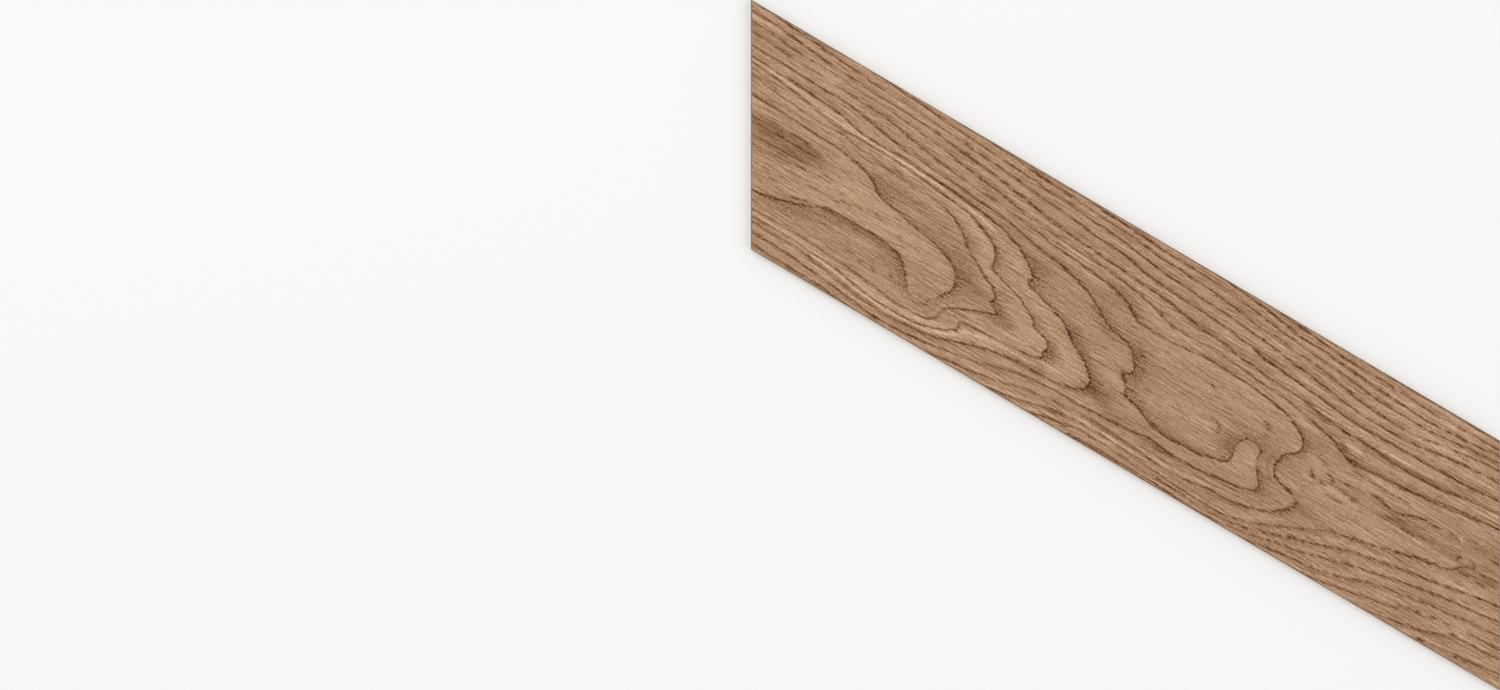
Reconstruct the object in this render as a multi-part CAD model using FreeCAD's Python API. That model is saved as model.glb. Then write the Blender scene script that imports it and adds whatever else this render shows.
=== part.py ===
"""Chevron wall tile: one pressed and fired porcelain strip with parallel mitred ends.

The tile lies face up.  +Z is out of the decorated face, +Y runs up along the two mitred
ends and +X points from the upper end to the lower one, so the long edges fall towards +X.
The origin is the centre of the back, on the plane that the back ribs rest on.  Millimetres.
"""

import FreeCAD
import Part
import math
import os

# ---- driving dimensions ------------------------------------------------------------
STRIP_WIDTH = 198.0      # square across the strip, long edge to long edge (20 cm format, rectified)
LONG_EDGE = 800.0        # along each long edge, mitre to mitre (80 cm format)
MITRE_DEG = 30.5         # the ends are cut this far off square
THICKNESS = 9.0          # rib tops to face
FACE_BEVEL = 0.8         # ground 45 degree bevel round the face
BACK_BEVEL = 0.4         # broken arris round the back
GROOVE_COUNT = 8         # keying grooves in the back, along the strip, open at both ends
GROOVE_PITCH = 22.0
GROOVE_MOUTH = 10.0      # width at the back plane
GROOVE_DEPTH = 0.6       # with 45 degree flanks, so that the press tool draws out

# ---- derived -----------------------------------------------------------------------
TILT = math.radians(MITRE_DEG)
ALONG = FreeCAD.Vector(math.cos(TILT), -math.sin(TILT), 0)    # down the strip
ACROSS = FreeCAD.Vector(math.sin(TILT), math.cos(TILT), 0)    # square across it, upwards
RUN = LONG_EDGE * math.cos(TILT)          # end to end, square to the ends
FALL = LONG_EDGE * math.sin(TILT)         # drop of a long edge over that run
END = STRIP_WIDTH / math.cos(TILT)        # length of each mitred end


def outline(z):
    """Closed wire of the tile's outline at height z."""
    x, y, e = RUN / 2, FALL / 2, END / 2
    corners = [(-x, y + e), (-x, y - e), (x, -y - e), (x, -y + e)]
    points = [FreeCAD.Vector(a, b, z) for a, b in corners]
    return Part.makePolygon(points + points[:1])


def rim_edges(solid, z):
    """The edges of a prism that lie in the plane at height z."""
    found = []
    for edge in solid.Edges:
        if all(abs(v.Point.z - z) < 1e-6 for v in edge.Vertexes):
            found.append(edge)
    return found


def groove(offset):
    """Cutter for one back groove, its middle line `offset` from the strip's own, square across."""
    half, floor, below = GROOVE_MOUTH / 2, GROOVE_MOUTH / 2 - GROOVE_DEPTH, 1.0
    section = [
        (-half - below, -below),
        (half + below, -below),
        (floor, GROOVE_DEPTH),
        (-floor, GROOVE_DEPTH),
    ]
    reach = LONG_EDGE / 2 + STRIP_WIDTH
    start = ACROSS * offset - ALONG * reach
    points = [start + ACROSS * s + FreeCAD.Vector(0, 0, z) for s, z in section]
    face = Part.Face(Part.makePolygon(points + points[:1]))
    return face.extrude(ALONG * (2 * reach))


def chevron_tile():
    tile = Part.Face(outline(0.0)).extrude(FreeCAD.Vector(0, 0, THICKNESS))
    tile = tile.makeChamfer(FACE_BEVEL, rim_edges(tile, THICKNESS))
    tile = tile.makeChamfer(BACK_BEVEL, rim_edges(tile, 0.0))
    first = -(GROOVE_COUNT - 1) / 2 * GROOVE_PITCH
    cutters = [groove(first + i * GROOVE_PITCH) for i in range(GROOVE_COUNT)]
    tile = tile.cut(cutters).removeSplitter()
    return tile.Solids[0]


os.makedirs("parts", exist_ok=True)
solid = chevron_tile()
box = solid.BoundBox
print(
    "chevron_tile valid %s, %d faces, %.1f x %.1f x %.1f mm, z from %.2f, volume %.1f cm3"
    % (solid.isValid(), len(solid.Faces), box.XLength, box.YLength, box.ZLength, box.ZMin, solid.Volume / 1000)
)
print("run %.2f fall %.2f end %.2f" % (RUN, FALL, END))
solid.exportStep("parts/chevron_tile.step")
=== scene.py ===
"""Looks of the chevron wall tile: one porcelain strip with a printed and lightly embossed oak figure.

Strip coordinates are millimetres: u runs along the long edge from the upper corner of the
upper end, v runs square across the strip from the upper long edge.
"""

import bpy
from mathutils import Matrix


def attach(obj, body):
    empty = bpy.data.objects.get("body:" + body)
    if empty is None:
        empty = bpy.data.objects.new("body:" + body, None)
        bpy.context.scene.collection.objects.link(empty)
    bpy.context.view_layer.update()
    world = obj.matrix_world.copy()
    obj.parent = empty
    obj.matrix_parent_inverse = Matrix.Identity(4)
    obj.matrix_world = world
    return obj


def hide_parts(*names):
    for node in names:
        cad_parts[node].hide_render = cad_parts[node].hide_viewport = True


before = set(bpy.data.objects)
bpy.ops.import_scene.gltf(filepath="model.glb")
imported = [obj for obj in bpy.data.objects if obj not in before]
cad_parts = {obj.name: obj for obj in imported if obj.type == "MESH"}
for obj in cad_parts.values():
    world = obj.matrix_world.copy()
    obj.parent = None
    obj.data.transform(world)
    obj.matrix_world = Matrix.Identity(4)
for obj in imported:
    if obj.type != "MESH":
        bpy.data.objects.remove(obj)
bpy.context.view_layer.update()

import math

import bpy
import numpy as np

# ---- the tile's own dimensions, as in its CAD ------------------------------------------
STRIP_WIDTH = 198.0
LONG_EDGE = 800.0
MITRE = math.radians(30.5)
THICKNESS = 9.0
GROOVES = [-77, -55, -33, -11, 11, 33, 55, 77]      # middle lines of the back grooves, off the strip's own
GROOVE_MOUTH, GROOVE_DEPTH = 10.0, 0.6
COS, SIN, TAN = math.cos(MITRE), math.sin(MITRE), math.tan(MITRE)
HALF_RUN = LONG_EDGE * COS / 2
TOP_LEFT = (-HALF_RUN, LONG_EDGE * SIN / 2 + STRIP_WIDTH / COS / 2)

# ---- the oak figure --------------------------------------------------------------------
# Growth-ring lines as (ring number, points along the line), counted outwards from the
# innermost tongue of the cathedral.
RINGS = [
    (1, [
        (18.5, 72.8), (46, 73.8), (73.5, 74.7), (101.5, 75.6), (129, 76.5), (149, 78.8), (165.5, 81.1), (176.5, 85.3),
        (184, 88.5), (189.5, 93.1), (199, 96.8), (211.5, 98.7), (226.5, 101.4), (241, 104.2), (257.5, 107.4), (273.5, 111.6),
        (284.5, 116.6), (291, 122.6), (294, 130), (294.5, 137.4), (291, 142.9), (286.5, 150.3), (281, 158.6), (272.5, 163.2),
        (264, 160), (257, 152.6), (249.5, 144.3), (241, 136.5), (232, 131.8), (221, 130), (204.5, 128.6), (184, 129.1),
        (165.5, 129.5), (154.5, 132.3), (140, 137.8), (125, 142.9), (108.5, 147.1), (89.5, 150.3), (64.5, 154.9),
    ]),
    (2, [
        (18.5, 56.2), (55, 60.9), (92, 64.5), (138, 67.3), (184, 70.1), (221, 72.8), (245, 73.3), (254, 74.9), (261.5, 77.4),
        (268, 80.7), (273.5, 84.1), (279, 88.5), (284.5, 92.5), (290, 97.7), (300, 102.3), (307.5, 106), (315.5, 110.6),
        (324, 114.3), (330, 119.5), (334, 123.5), (331, 127.7), (336, 130.7), (342, 134.4), (334, 138.1), (322, 142.9),
        (311, 147.5), (301, 151.7), (296.5, 156.7), (295.5, 164.1), (291, 169.2), (281.5, 172.4), (269, 173.3), (253, 172.9),
        (235.5, 170.6), (219, 168.7), (184, 166.4), (142.5, 165), (106, 165), (73.5, 166),
    ]),
    (3, [
        (9, 47.9), (32, 48.9), (55, 50.2), (78, 53.5), (101.5, 56.2), (129, 59.6), (156.5, 59.9), (184, 59.7), (204.5, 60.9),
        (221, 62.3), (241, 64.2), (261.5, 65.9), (276, 68.2), (287, 72.4), (298, 76.5), (307.5, 81.1), (313, 87.6), (316, 95),
        (315.5, 99.6), (324, 102.3), (337, 106.5), (350, 110.6), (362.5, 116.2), (373, 122.2), (378.5, 128.2), (387.5, 130),
        (396, 133.7), (398.5, 136.9), (396.5, 142.9), (397.5, 148.4), (390.5, 151.5), (373, 153.7), (350, 155.3), (333, 156.4),
        (322, 157.1), (315.5, 159.1), (318, 162.7), (316, 166.4), (307.5, 171.8), (296.5, 176.3), (281.5, 179.6), (262.5, 181),
        (239.5, 180.9), (221, 179.1), (198, 174.8), (175, 172.4), (147.5, 171.5), (110.5, 171.5), (83, 172.4),
    ]),
    (4, [
        (4.5, 42.4), (27.5, 43.8), (55, 45.2), (78, 45.2), (101.5, 47), (119.5, 48.4), (138, 51.2), (150, 54.4), (165.5, 55.3),
        (188.5, 54.4), (211.5, 55.3), (234.5, 56.7), (257.5, 58.5), (276, 59.9), (294.5, 62.2), (313, 65.9), (329.5, 71.5),
        (339.5, 77.4), (348, 83), (354.5, 90.4), (350.5, 93.1), (361, 98.2), (379, 103.3), (396, 108.8), (408.5, 116.2),
        (419.5, 124), (430, 129.1), (438, 135.1), (445, 141.1), (448, 146.1), (447.5, 151.2), (443.5, 155.4), (438, 157.7),
        (431, 159.3), (414, 161.8), (391, 163.2), (368, 164.6), (350, 167.3), (331.5, 172.9), (313, 178.9), (294.5, 183.5),
        (274.5, 185.8), (248.5, 187.2), (224.5, 185.8), (200.5, 183), (176.5, 178.9), (147.5, 175.6), (110.5, 175.6),
        (92, 176.1),
    ]),
    (5, [
        (0, 36), (27.5, 36), (60, 36.4), (92, 36.9), (129, 37.8), (147.5, 40.6), (165.5, 43.3), (184, 46.1), (197, 48.4),
        (221, 49.3), (244, 50.7), (271.5, 52.6), (304, 55.3), (327, 59.5), (345, 62.7), (366.5, 65), (385, 69.2),
        (401.5, 74.2), (414, 79.3), (423.5, 84.4), (431, 89), (442, 92.7), (456.5, 95.4), (466.5, 100), (470.5, 105.6),
        (475, 110.6), (477, 117.1), (475.5, 120.3), (470, 122.2), (472.5, 126.3), (476, 130), (480, 134.2), (481, 138.3),
        (489, 140.5), (501.5, 144.3), (513.5, 149.4), (529.5, 152.1), (552.5, 152.1), (569, 150.7), (582, 147.5), (592, 144.8),
        (594.5, 139.2), (593.5, 131.8), (594, 123.5), (596.5, 118), (603, 115.3), (610.5, 116.6), (616, 121.7), (617.5, 129.1),
        (620.5, 136), (625, 142), (629.5, 148.4), (628, 154.4), (616.5, 158.1), (598.5, 161.4), (578, 163.7), (552.5, 165),
        (534, 163.7), (517.5, 162.3), (501.5, 164.6), (478.5, 166.4), (455.5, 167.8), (428, 168.7), (405, 169.6), (385, 172.4),
        (368, 176.1), (350, 180.7), (331.5, 184.9), (313, 188.1), (292.5, 191.3), (267, 193.6), (241, 193.6), (219, 190.9),
        (195, 188.1), (170.5, 186.7), (142.5, 184.9), (110.5, 183.5), (92, 183.5),
    ]),
    (6, [
        (0, 24.9), (27.5, 24.9), (55, 26.3), (92, 27.7), (129, 28.1), (152, 30.4), (184, 34.1), (207, 37.8), (230, 40.6),
        (257.5, 43.8), (285.5, 45.6), (313, 47.5), (336, 50.2), (354.5, 53.5), (377.5, 54.9), (405, 57.2), (423.5, 59),
        (435.5, 62.2), (445.5, 67.8), (455.5, 73.8), (467.5, 75.6), (488, 74.7), (506.5, 73.8), (529.5, 71.9), (552.5, 71.5),
        (572.5, 72.4), (593.5, 74.7), (611, 77), (624, 80.2), (635, 85.7), (642.5, 90.8), (647, 97.3), (645.5, 103.3),
        (639, 108.8), (635, 112.5), (633, 120.8), (633.5, 127.2), (638, 132.8), (645.5, 136.1), (653.5, 137.8), (661, 140.6),
        (666, 144.8), (665.5, 148.9), (661.5, 153.5), (655, 160.4), (645.5, 166), (633.5, 170.1), (615, 173.3), (593.5, 174.7),
        (572.5, 177.9), (552.5, 179.8), (534, 178.4), (515.5, 176.6), (488, 175.2), (460, 175.2), (431, 177), (405, 179.8),
        (386.5, 183.5), (368, 188.1), (350, 191.8), (331.5, 194.1), (313, 196.4),
    ]),
    (7, [
        (18.5, 16.1), (55, 19.4), (92, 19.8), (129, 21.7), (156.5, 23.1), (184, 25.4), (221, 28.6), (248.5, 32.3), (276, 35.5),
        (299, 38.7), (322, 42.4), (354.5, 44.3), (386.5, 46.1), (405, 47.5), (423.5, 49.3), (442, 52.1), (460, 54.9),
        (474, 59.5), (488, 62.2), (515.5, 61.3), (543, 61.3), (570.5, 63.6), (593.5, 65.5), (611, 66.8), (630.5, 70.1),
        (644.5, 72.4), (655.5, 74.7), (667.5, 77.4), (676.5, 81.1), (686, 84.8), (695, 87.8), (705, 86.3), (717, 84.5),
        (736.5, 83.6), (750, 82.1), (764, 80.2), (778, 78), (791.5, 76), (812, 73.4), (833, 72.1), (865.5, 70.1),
    ]),
    (8, [
        (9, 7.8), (37, 8.8), (55, 10.1), (92, 13.8), (138, 16.6), (184, 17.5), (221, 20.3), (257.5, 24), (285.5, 26.3),
        (313, 30.4), (350, 35.5), (377.5, 37.8), (405, 40.1), (432.5, 41.5), (460, 43.3), (480.5, 46.1), (501.5, 48.9),
        (529.5, 51.6), (547.5, 53.9), (570.5, 56.2), (593.5, 58.5), (621.5, 59.9), (644.5, 62.7), (681, 65.5), (718, 67.3),
        (755, 67.3), (778, 65.5), (801, 62.2), (828.5, 59), (856, 57.2),
    ]),
    (9, [
        (37, 1.8), (55, 3.2), (92, 5.5), (129, 8.3), (184, 11.1), (221, 13.8), (257.5, 15.7), (285.5, 18), (313, 20.3),
        (350, 23.1), (386.5, 26.3), (423.5, 29), (442, 33.2), (469.5, 35), (506.5, 36.4), (534, 38.3), (552.5, 40.6),
        (572.5, 44.3), (607.5, 47), (644.5, 50.7), (681, 53.5), (718, 53), (755, 52.6), (791.5, 51.6), (828.5, 48.9),
        (851.5, 47),
    ]),
    (10, [
        (147.5, 0.9), (184, 3.2), (221, 6.5), (276, 9.2), (313, 11.5), (350, 13.8), (396, 16.1), (423.5, 19.4), (460, 24),
        (506.5, 26.7), (552.5, 29.5), (589, 33.2), (626, 37.8), (653.5, 41), (681, 43.8), (718, 43.8), (736.5, 42.4),
        (764, 38.3), (791.5, 36), (819, 33.7), (837.5, 32.3),
    ]),
    (11, [
        (267, 1.4), (313, 4.6), (350, 6.5), (386.5, 8.8), (423.5, 11.1), (460, 13.4), (497, 15.2), (524.5, 18.4),
        (552.5, 21.2), (589, 24.4), (616.5, 26.7), (644.5, 30), (663, 33.2), (686, 35), (718, 35), (741, 33.7), (759.5, 30.4),
        (791.5, 26.3), (814.5, 24), (833, 22.1),
    ]),
    (12, [
        (368, 1.8), (405, 4.1), (442, 6), (478.5, 6.9), (515.5, 8.8), (552.5, 12.4), (589, 16.1), (607.5, 18), (644.5, 21.2),
        (681, 24), (718, 25.4), (755, 24), (782.5, 21.2), (810, 18.4), (828.5, 16.6),
    ]),
    (13, [
        (515.5, 1.4), (552.5, 4.1), (575.5, 7.4), (593.5, 10.1), (626, 12.4), (663, 14.8), (699.5, 17.1), (736.5, 18),
        (764, 16.6), (791.5, 14.3), (814.5, 12),
    ]),
    (14, [
        (570.5, 0.9), (598.5, 3.7), (635, 6.5), (672, 7.8), (718, 9.2), (764, 8.3), (801, 7.8), (819, 7.4),
    ]),
    (7, [
        (405, 190.9), (423.5, 186.2), (442, 183.9), (460, 182.1), (497, 182.6), (529.5, 184.4), (552.5, 186.7), (589, 188.5),
        (615, 187.6), (631.5, 184.4), (646, 179.3), (663, 172.4), (683, 162.7), (701.5, 154.4), (722.5, 148), (741, 143.4),
        (760.5, 138.8), (782.5, 133.7), (804.5, 129.5), (819, 125.9), (826.5, 119.9), (834, 114.8), (839.5, 111.6),
    ]),
    (8, [
        (432.5, 192.7), (460, 188.5), (497, 189), (534, 190.4), (570.5, 191.8), (607.5, 192.2), (635, 188.5), (653.5, 183),
        (670, 177.9), (686, 172), (701.5, 166.9), (718, 162.3), (736.5, 156.7), (759.5, 152.6), (782.5, 147.5), (810, 143.4),
        (837.5, 138.3), (865.5, 133.7), (888.5, 130.9),
    ]),
    (9, [
        (552.5, 195.5), (607.5, 196.4), (635, 192.7), (663, 187.2), (681, 183.5), (701.5, 178.4), (720, 173.8), (738, 168.7),
        (759.5, 164.1), (782.5, 159), (810, 153.5), (833, 149.8), (865.5, 147.1), (888.5, 143.8), (906.5, 142),
    ]),
    (10, [
        (658, 195.5), (686, 191.3), (709, 189), (727, 184.9), (744, 179.8), (759.5, 174.7), (778, 170.1), (801, 166.4),
        (828.5, 162.7), (856, 158.6), (883.5, 156.7), (906.5, 154.9),
    ]),
    (11, [
        (718, 196.4), (736.5, 192.7), (759.5, 188.5), (782.5, 183.9), (801, 178.4), (819, 173.8), (842.5, 169.6), (870, 167.3),
        (897.5, 166), (916, 165),
    ]),
    (12, [
        (773, 196.4), (791.5, 193.2), (810, 190.4), (833, 184.9), (848.5, 179.3), (865.5, 175.6), (888.5, 175.2),
        (906.5, 173.3),
    ]),
    (13, [
        (828.5, 195.5), (856, 192.2), (874.5, 189.9), (893, 187.6), (916, 186.2),
    ]),
]
BETWEEN = [
    (0.45, [
        (73.5, 101.4), (129, 103.3), (165.5, 108.8), (211.5, 114.3),
    ]),
    (0.7, [
        (248.5, 124.5), (271.5, 138.3),
    ]),
    (6.72, [
        (686, 110.6), (727, 115.3), (773, 110.6), (810, 103.3),
    ]),
    (6.8, [
        (690.5, 133.7), (676.5, 101.4), (828.5, 92.2), (856, 94),
    ]),
    (7.35, [
        (860.5, 108.8),
    ]),
    (5.4, [
        (501.5, 101.4), (534, 96.8), (552.5, 115.3), (589, 92.2), (515.5, 129.1), (552.5, 133.7), (584.5, 115.3),
        (575.5, 138.3), (501.5, 84.8),
    ]),
    (4.8, [
        (515.5, 156.7), (552.5, 158.6), (589, 154), (607.5, 138.3), (460, 119.9), (465, 138.3),
    ]),
]

# Soft patches of the figure as (u, v, half length, half width, amount).
TONE = [                  # slow light and dark, in steps of the tone scale
    (355.3, 133.7, 12, 3.7, -7), (276.1, 59.5, 27.6, 2.3, -4), (557.8, 125.4, 14.7, 9.2, 4), (583.6, 129.1, 8.3, 11.1, -6),
    (482.3, 114.3, 5.5, 4.6, -7), (699.6, 47, 20.3, 6.5, 8), (736.4, 63.6, 18.4, 5.5, -7), (257.7, 179.8, 20.3, 6.5, 8), (386.6, 179.8, 35, 6.5, -6),
    (55.2, 47, 33.1, 6.5, 6), (773.2, 80.2, 36.8, 5.5, 4), (331.4, 63.6, 18.4, 6.5, -5), (589.1, 47, 16.6, 6.5, 4), (662.8, 63.6, 16.6, 6.5, 5),
    (692.2, 31.3, 31.3, 11.1, 6), (754.8, 75.6, 38.7, 4.6, 7), (658.2, 60.9, 14.7, 5.5, 6), (768.6, 7.4, 23.9, 5.5, 5), (782.4, 43.3, 36.8, 6.5, 4),
    (655.4, 22.1, 20.3, 6.5, 3), (635.1, 7.4, 36.8, 5.5, 3), (174.9, 111.6, 80.1, 20.3, 7), (699.6, 175.2, 90.2, 22.1, -2),
    (529.3, 111.6, 59.8, 24.9, -1), (73.6, 93.1, 23.9, 8.3, -24), (115.1, 95, 18.4, 8.3, -26), (95.7, 103.7, 31.3, 7.4, -20),
    (103.1, 89, 29.5, 3.2, -10), (692.2, 82.5, 18.4, 5.1, -16), (851.5, 92.2, 29.5, 12, -8), (276.1, 145.7, 22.1, 11.1, -12),
    (630.5, 124.5, 7.4, 20.3, -13), (193.3, 93.1, 14.7, 4.6, -10), (119.7, 139.2, 23.9, 4.6, -12), (357.2, 138.3, 14.7, 4.6, -9),
    (469.5, 106, 11, 18.4, -8), (589.1, 156.7, 46, 6.5, -7), (497.1, 158.6, 46, 8.3, -9), (570.7, 171.5, 55.2, 4.6, -7), (243.9, 66.4, 22.1, 3.7, 9),
    (750.2, 32.3, 41.4, 7.4, 12), (506.3, 60.9, 20.3, 3.7, 10), (612.1, 22.1, 27.6, 4.6, 5), (727.2, 89.4, 27.6, 4.6, 6),
    (718, 129.1, 55.2, 7.4, -2), (754.8, 107, 64.4, 12.9, -4), (418.8, 66.4, 20.3, 11.1, -6), (184.1, 64.5, 25.8, 6.5, 11),
    (142.7, 62.7, 14.7, 5.5, 5), (368.2, 61.8, 18.4, 7.4, -10), (331.4, 80.2, 16.6, 7.4, 9), (67.2, 95.9, 16.6, 8.3, -13),
    (842.3, 95.9, 18.4, 8.3, -15), (805.4, 95.9, 14.7, 7.4, -7), (701.4, 112.5, 20.3, 7.4, -11), (741, 110.6, 14.7, 6.5, -6),
    (814.6, 111.6, 16.6, 7.4, -7), (773.2, 113.4, 14.7, 6.5, 6), (778.7, 101, 18.4, 3.2, -9), (732.7, 104.6, 12, 3.2, -9),
    (329.5, 145.7, 16.6, 7.4, 10), (463, 148.4, 14.7, 10.1, -11), (512.7, 49.8, 12, 3.2, -12), (625.9, 145.7, 16.6, 8.3, -8),
    (585.4, 129.1, 12.9, 9.2, -6), (713.4, 145.7, 33.1, 7.4, -8), (602.9, 164.1, 33.1, 6.5, -6), (681.2, 164.1, 46, 6.5, -8),
    (736.4, 164.1, 18.4, 7.4, -7), (368.2, 180.7, 18.4, 7.4, -9), (110.5, 178.9, 16.6, 6.5, 8), (446.4, 178.9, 18.4, 7.4, 6),
    (796.2, 61.8, 18.4, 6.5, -7), (515.5, 101.4, 27.6, 9.2, 3), (570.7, 129.1, 12.9, 9.2, 4),
]
LINE_STRENGTH = [         # where a ring line fades (-) or stands out (+)
    (261.4, 154.9, 8.3, 7.4, -0.35), (284.4, 154, 5.5, 6.5, -0.25), (110.5, 67.3, 90.2, 5.1, -0.85), (55.2, 59.9, 46, 4.6, -0.35),
    (64.4, 24, 101.3, 27.7, -0.45), (230.1, 27.7, 92, 29.5, -0.45), (377.4, 31.3, 92, 31.3, -0.45), (497.1, 33.2, 55.2, 22.1, -0.4),
    (607.5, 27.7, 82.8, 31.3, -0.45), (736.4, 27.7, 82.8, 27.7, -0.5), (810, 36.9, 36.8, 23.1, -0.3), (270.6, 161.4, 9.2, 6.5, -0.65),
    (282.6, 154, 6.4, 8.3, -0.5), (119.7, 27.7, 110.5, 6, -0.3), (299.2, 45.2, 90.2, 5.1, -0.35), (871.7, 104.2, 34.1, 9.2, -1.1),
    (842.3, 107, 13.8, 10.1, -1.2), (833, 116.2, 9.2, 7.4, -1.3), (292.7, 98.7, 20.3, 5.5, -0.4), (225.5, 72.8, 25.8, 3.2, -0.6),
    (55.2, 42.4, 55.2, 5.5, -0.2), (184.1, 166, 55.2, 3.7, -0.5), (303.8, 160.4, 11, 8.3, -0.4), (561.5, 179.8, 36.8, 3.7, -0.55),
    (497.1, 183.5, 55.2, 4.6, -0.35), (490.6, 74.2, 23.9, 3.7, -0.5), (449.2, 69.2, 9.2, 5.5, 0.3), (594.6, 129.1, 4.6, 5.5, -0.75),
    (618.1, 130, 4.6, 5.5, -0.7), (605.7, 116.2, 12.9, 4.6, -0.15), (349.8, 183.5, 46, 7.4, -0.35), (391.2, 178.9, 50.6, 8.3, -0.2),
    (138.1, 175.2, 55.2, 4.6, -0.25), (311.1, 88.5, 8.3, 12.9, 0.3), (345.2, 109.7, 25.8, 6.5, 0.25), (397.7, 142, 5.5, 9.2, 0.3),
    (405, 113.4, 16.6, 7.4, 0.15), (445.5, 144.8, 6.4, 11.1, 0.1), (405, 171, 29.5, 4.6, -0.5), (432.6, 177, 22.1, 3.7, -0.45),
    (478.7, 183, 27.6, 2.8, -0.4), (663.7, 143.8, 8.3, 7.4, -0.7), (149.1, 135.5, 8.3, 3.7, -0.6), (179.5, 187.6, 73.6, 3.7, -0.45),
    (202.5, 181.6, 41.4, 3.2, -0.25), (487.9, 175.6, 36.8, 2.8, -0.5), (529.3, 184.9, 36.8, 2.8, -0.4), (515.5, 189.9, 82.8, 3.7, -0.45),
    (475, 130, 9.2, 11.1, -0.3), (708.8, 158.6, 55.2, 22.1, -0.7), (828.4, 164.1, 73.6, 25.8, -0.7), (773.2, 189, 92, 9.2, -0.35),
    (708.8, 83, 27.6, 5.5, -0.5), (322.2, 157.7, 27.6, 3.7, -0.35), (363.6, 154, 27.6, 2.8, -0.3), (372.8, 185.3, 36.8, 6.5, -0.6),
    (644.3, 166.9, 12.9, 4.6, -0.3), (800.8, 60.9, 20.3, 3.7, -0.3), (520.1, 60.9, 20.3, 3.7, -0.35), (589.1, 176.1, 27.6, 2.8, -0.3),
    (614.9, 158.6, 16.6, 3.7, -0.25), (773.2, 78.4, 46, 3.7, -0.35), (718, 66.4, 82.8, 3.7, -0.35),
]
HALO_STRENGTH = [         # where the dark wood outside a line is deeper
    (301.9, 130, 12.9, 18.4, 0.5), (359.9, 82.1, 13.8, 12, 0.6), (322.2, 89.4, 8.3, 12, 0.5), (456.6, 147.5, 12, 15.7, 0.5),
    (484.2, 107.9, 10.1, 13.8, 0.4), (487.9, 130, 8.3, 8.3, 0.3), (407.8, 140.1, 7.4, 11.1, 0.8), (416.1, 108.8, 20.3, 7.4, 0.5),
    (649.9, 99.6, 9.2, 14.8, 0.5), (668.3, 147.5, 7.4, 10.1, 0.5), (209.9, 93.1, 20.3, 4.6, 0.3), (342.4, 132.8, 9.2, 7.4, 0.4),
    (718, 160.4, 64.4, 22.1, 1.5), (64.4, 24, 101.3, 27.7, 0.7), (230.1, 27.7, 92, 29.5, 0.7), (377.4, 31.3, 92, 31.3, 0.7),
    (497.1, 33.2, 55.2, 22.1, 0.6), (607.5, 27.7, 82.8, 31.3, 0.7), (736.4, 27.7, 82.8, 27.7, 0.8), (810, 36.9, 36.8, 23.1, 0.4),
    (828.4, 166, 73.6, 24, 1.5),
]
# Soft bands as (amount, half width, points along it).
BANDS = [

    (16, 4.1, [(96.7, 167.8), (138.1, 170.1), (184.1, 172.4), (230.1, 175.6), (276.1, 176.1), (308.4, 168.7), (336, 159), (368.2, 154.4), (423.4, 151.2)]),
    (10, 3.2, [(36.8, 46.1), (92, 50.7), (138.1, 56.2), (184.1, 59), (239.3, 62.7)]),
    (13, 4.1, [(322.2, 104.2), (349.8, 108.8), (377.4, 116.2), (405, 127.2), (421.6, 140.1), (410.5, 152.1)]),
    (10, 4.1, [(317.6, 115.3), (345.2, 124.5), (372.8, 138.3), (354.4, 149.4)]), (10, 3.2, [(276.1, 71.9), (299.2, 83), (308.4, 96.8)]),
    (9, 3.2, [(317.6, 81.1), (338.7, 90.4)]), (-12, 5.1, [(216.3, 83), (266.9, 93.1), (299.2, 116.2), (322.2, 131.8)]),
    (-16, 5.1, [(344.3, 73.8), (368.2, 76.5), (414.2, 85.7), (436.3, 94)]),
    (-14, 5.5, [(414.2, 115.3), (441.8, 134.6), (460.2, 150.3), (478.7, 162.3)]), (-10, 2.8, [(625.9, 57.2), (658.2, 70.1)]),
    (-8, 2.8, [(667.4, 71.9), (699.6, 73.8)]), (-9, 3.2, [(681.2, 114.3), (764, 114.8)]), (-11, 4.1, [(764, 111.6), (860.7, 116.2)]),
    (-7, 3.7, [(156.5, 131.8), (216.3, 130)]), (-15, 3.7, [(704.2, 66.4), (736.4, 67.7), (782.4, 65.5)]),
    (-9, 2.4, [(644.3, 63.6), (681.2, 64.5), (727.2, 65.9), (773.2, 65.5), (796.2, 63.2)]), (-10, 2.4, [(713.4, 82.5), (736.4, 83.4), (764, 80.2)]),
    (6, 8.3, [(18.4, 9.2), (110.5, 11.1), (230.1, 12.9)]), (7, 7.4, [(662.8, 11.1), (777.8, 12)]), (-8, 5.5, [(581.8, 108.8), (585.4, 134.6)]),
    (-7, 5.5, [(618.6, 95.9), (622.3, 118)]), (-9, 3.7, [(296.4, 107), (322.2, 120.8), (355.3, 133.7)]), (8, 2.8, [(460.2, 130.9), (475, 135.5)]),
    (8, 2.8, [(440, 93.1), (456.6, 93.1)]), (-10, 4.6, [(750.2, 107.9), (782.4, 104.2)]), (-8, 2.8, [(704.2, 93.1), (731.8, 95)]),
    (-12, 3.2, [(759.4, 110.2), (776, 109.7)]), (-9, 2.8, [(833, 120.8), (860.7, 118.9)]), (-7, 2.8, [(161.1, 133.7), (188.7, 132.8)]),
]
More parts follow.
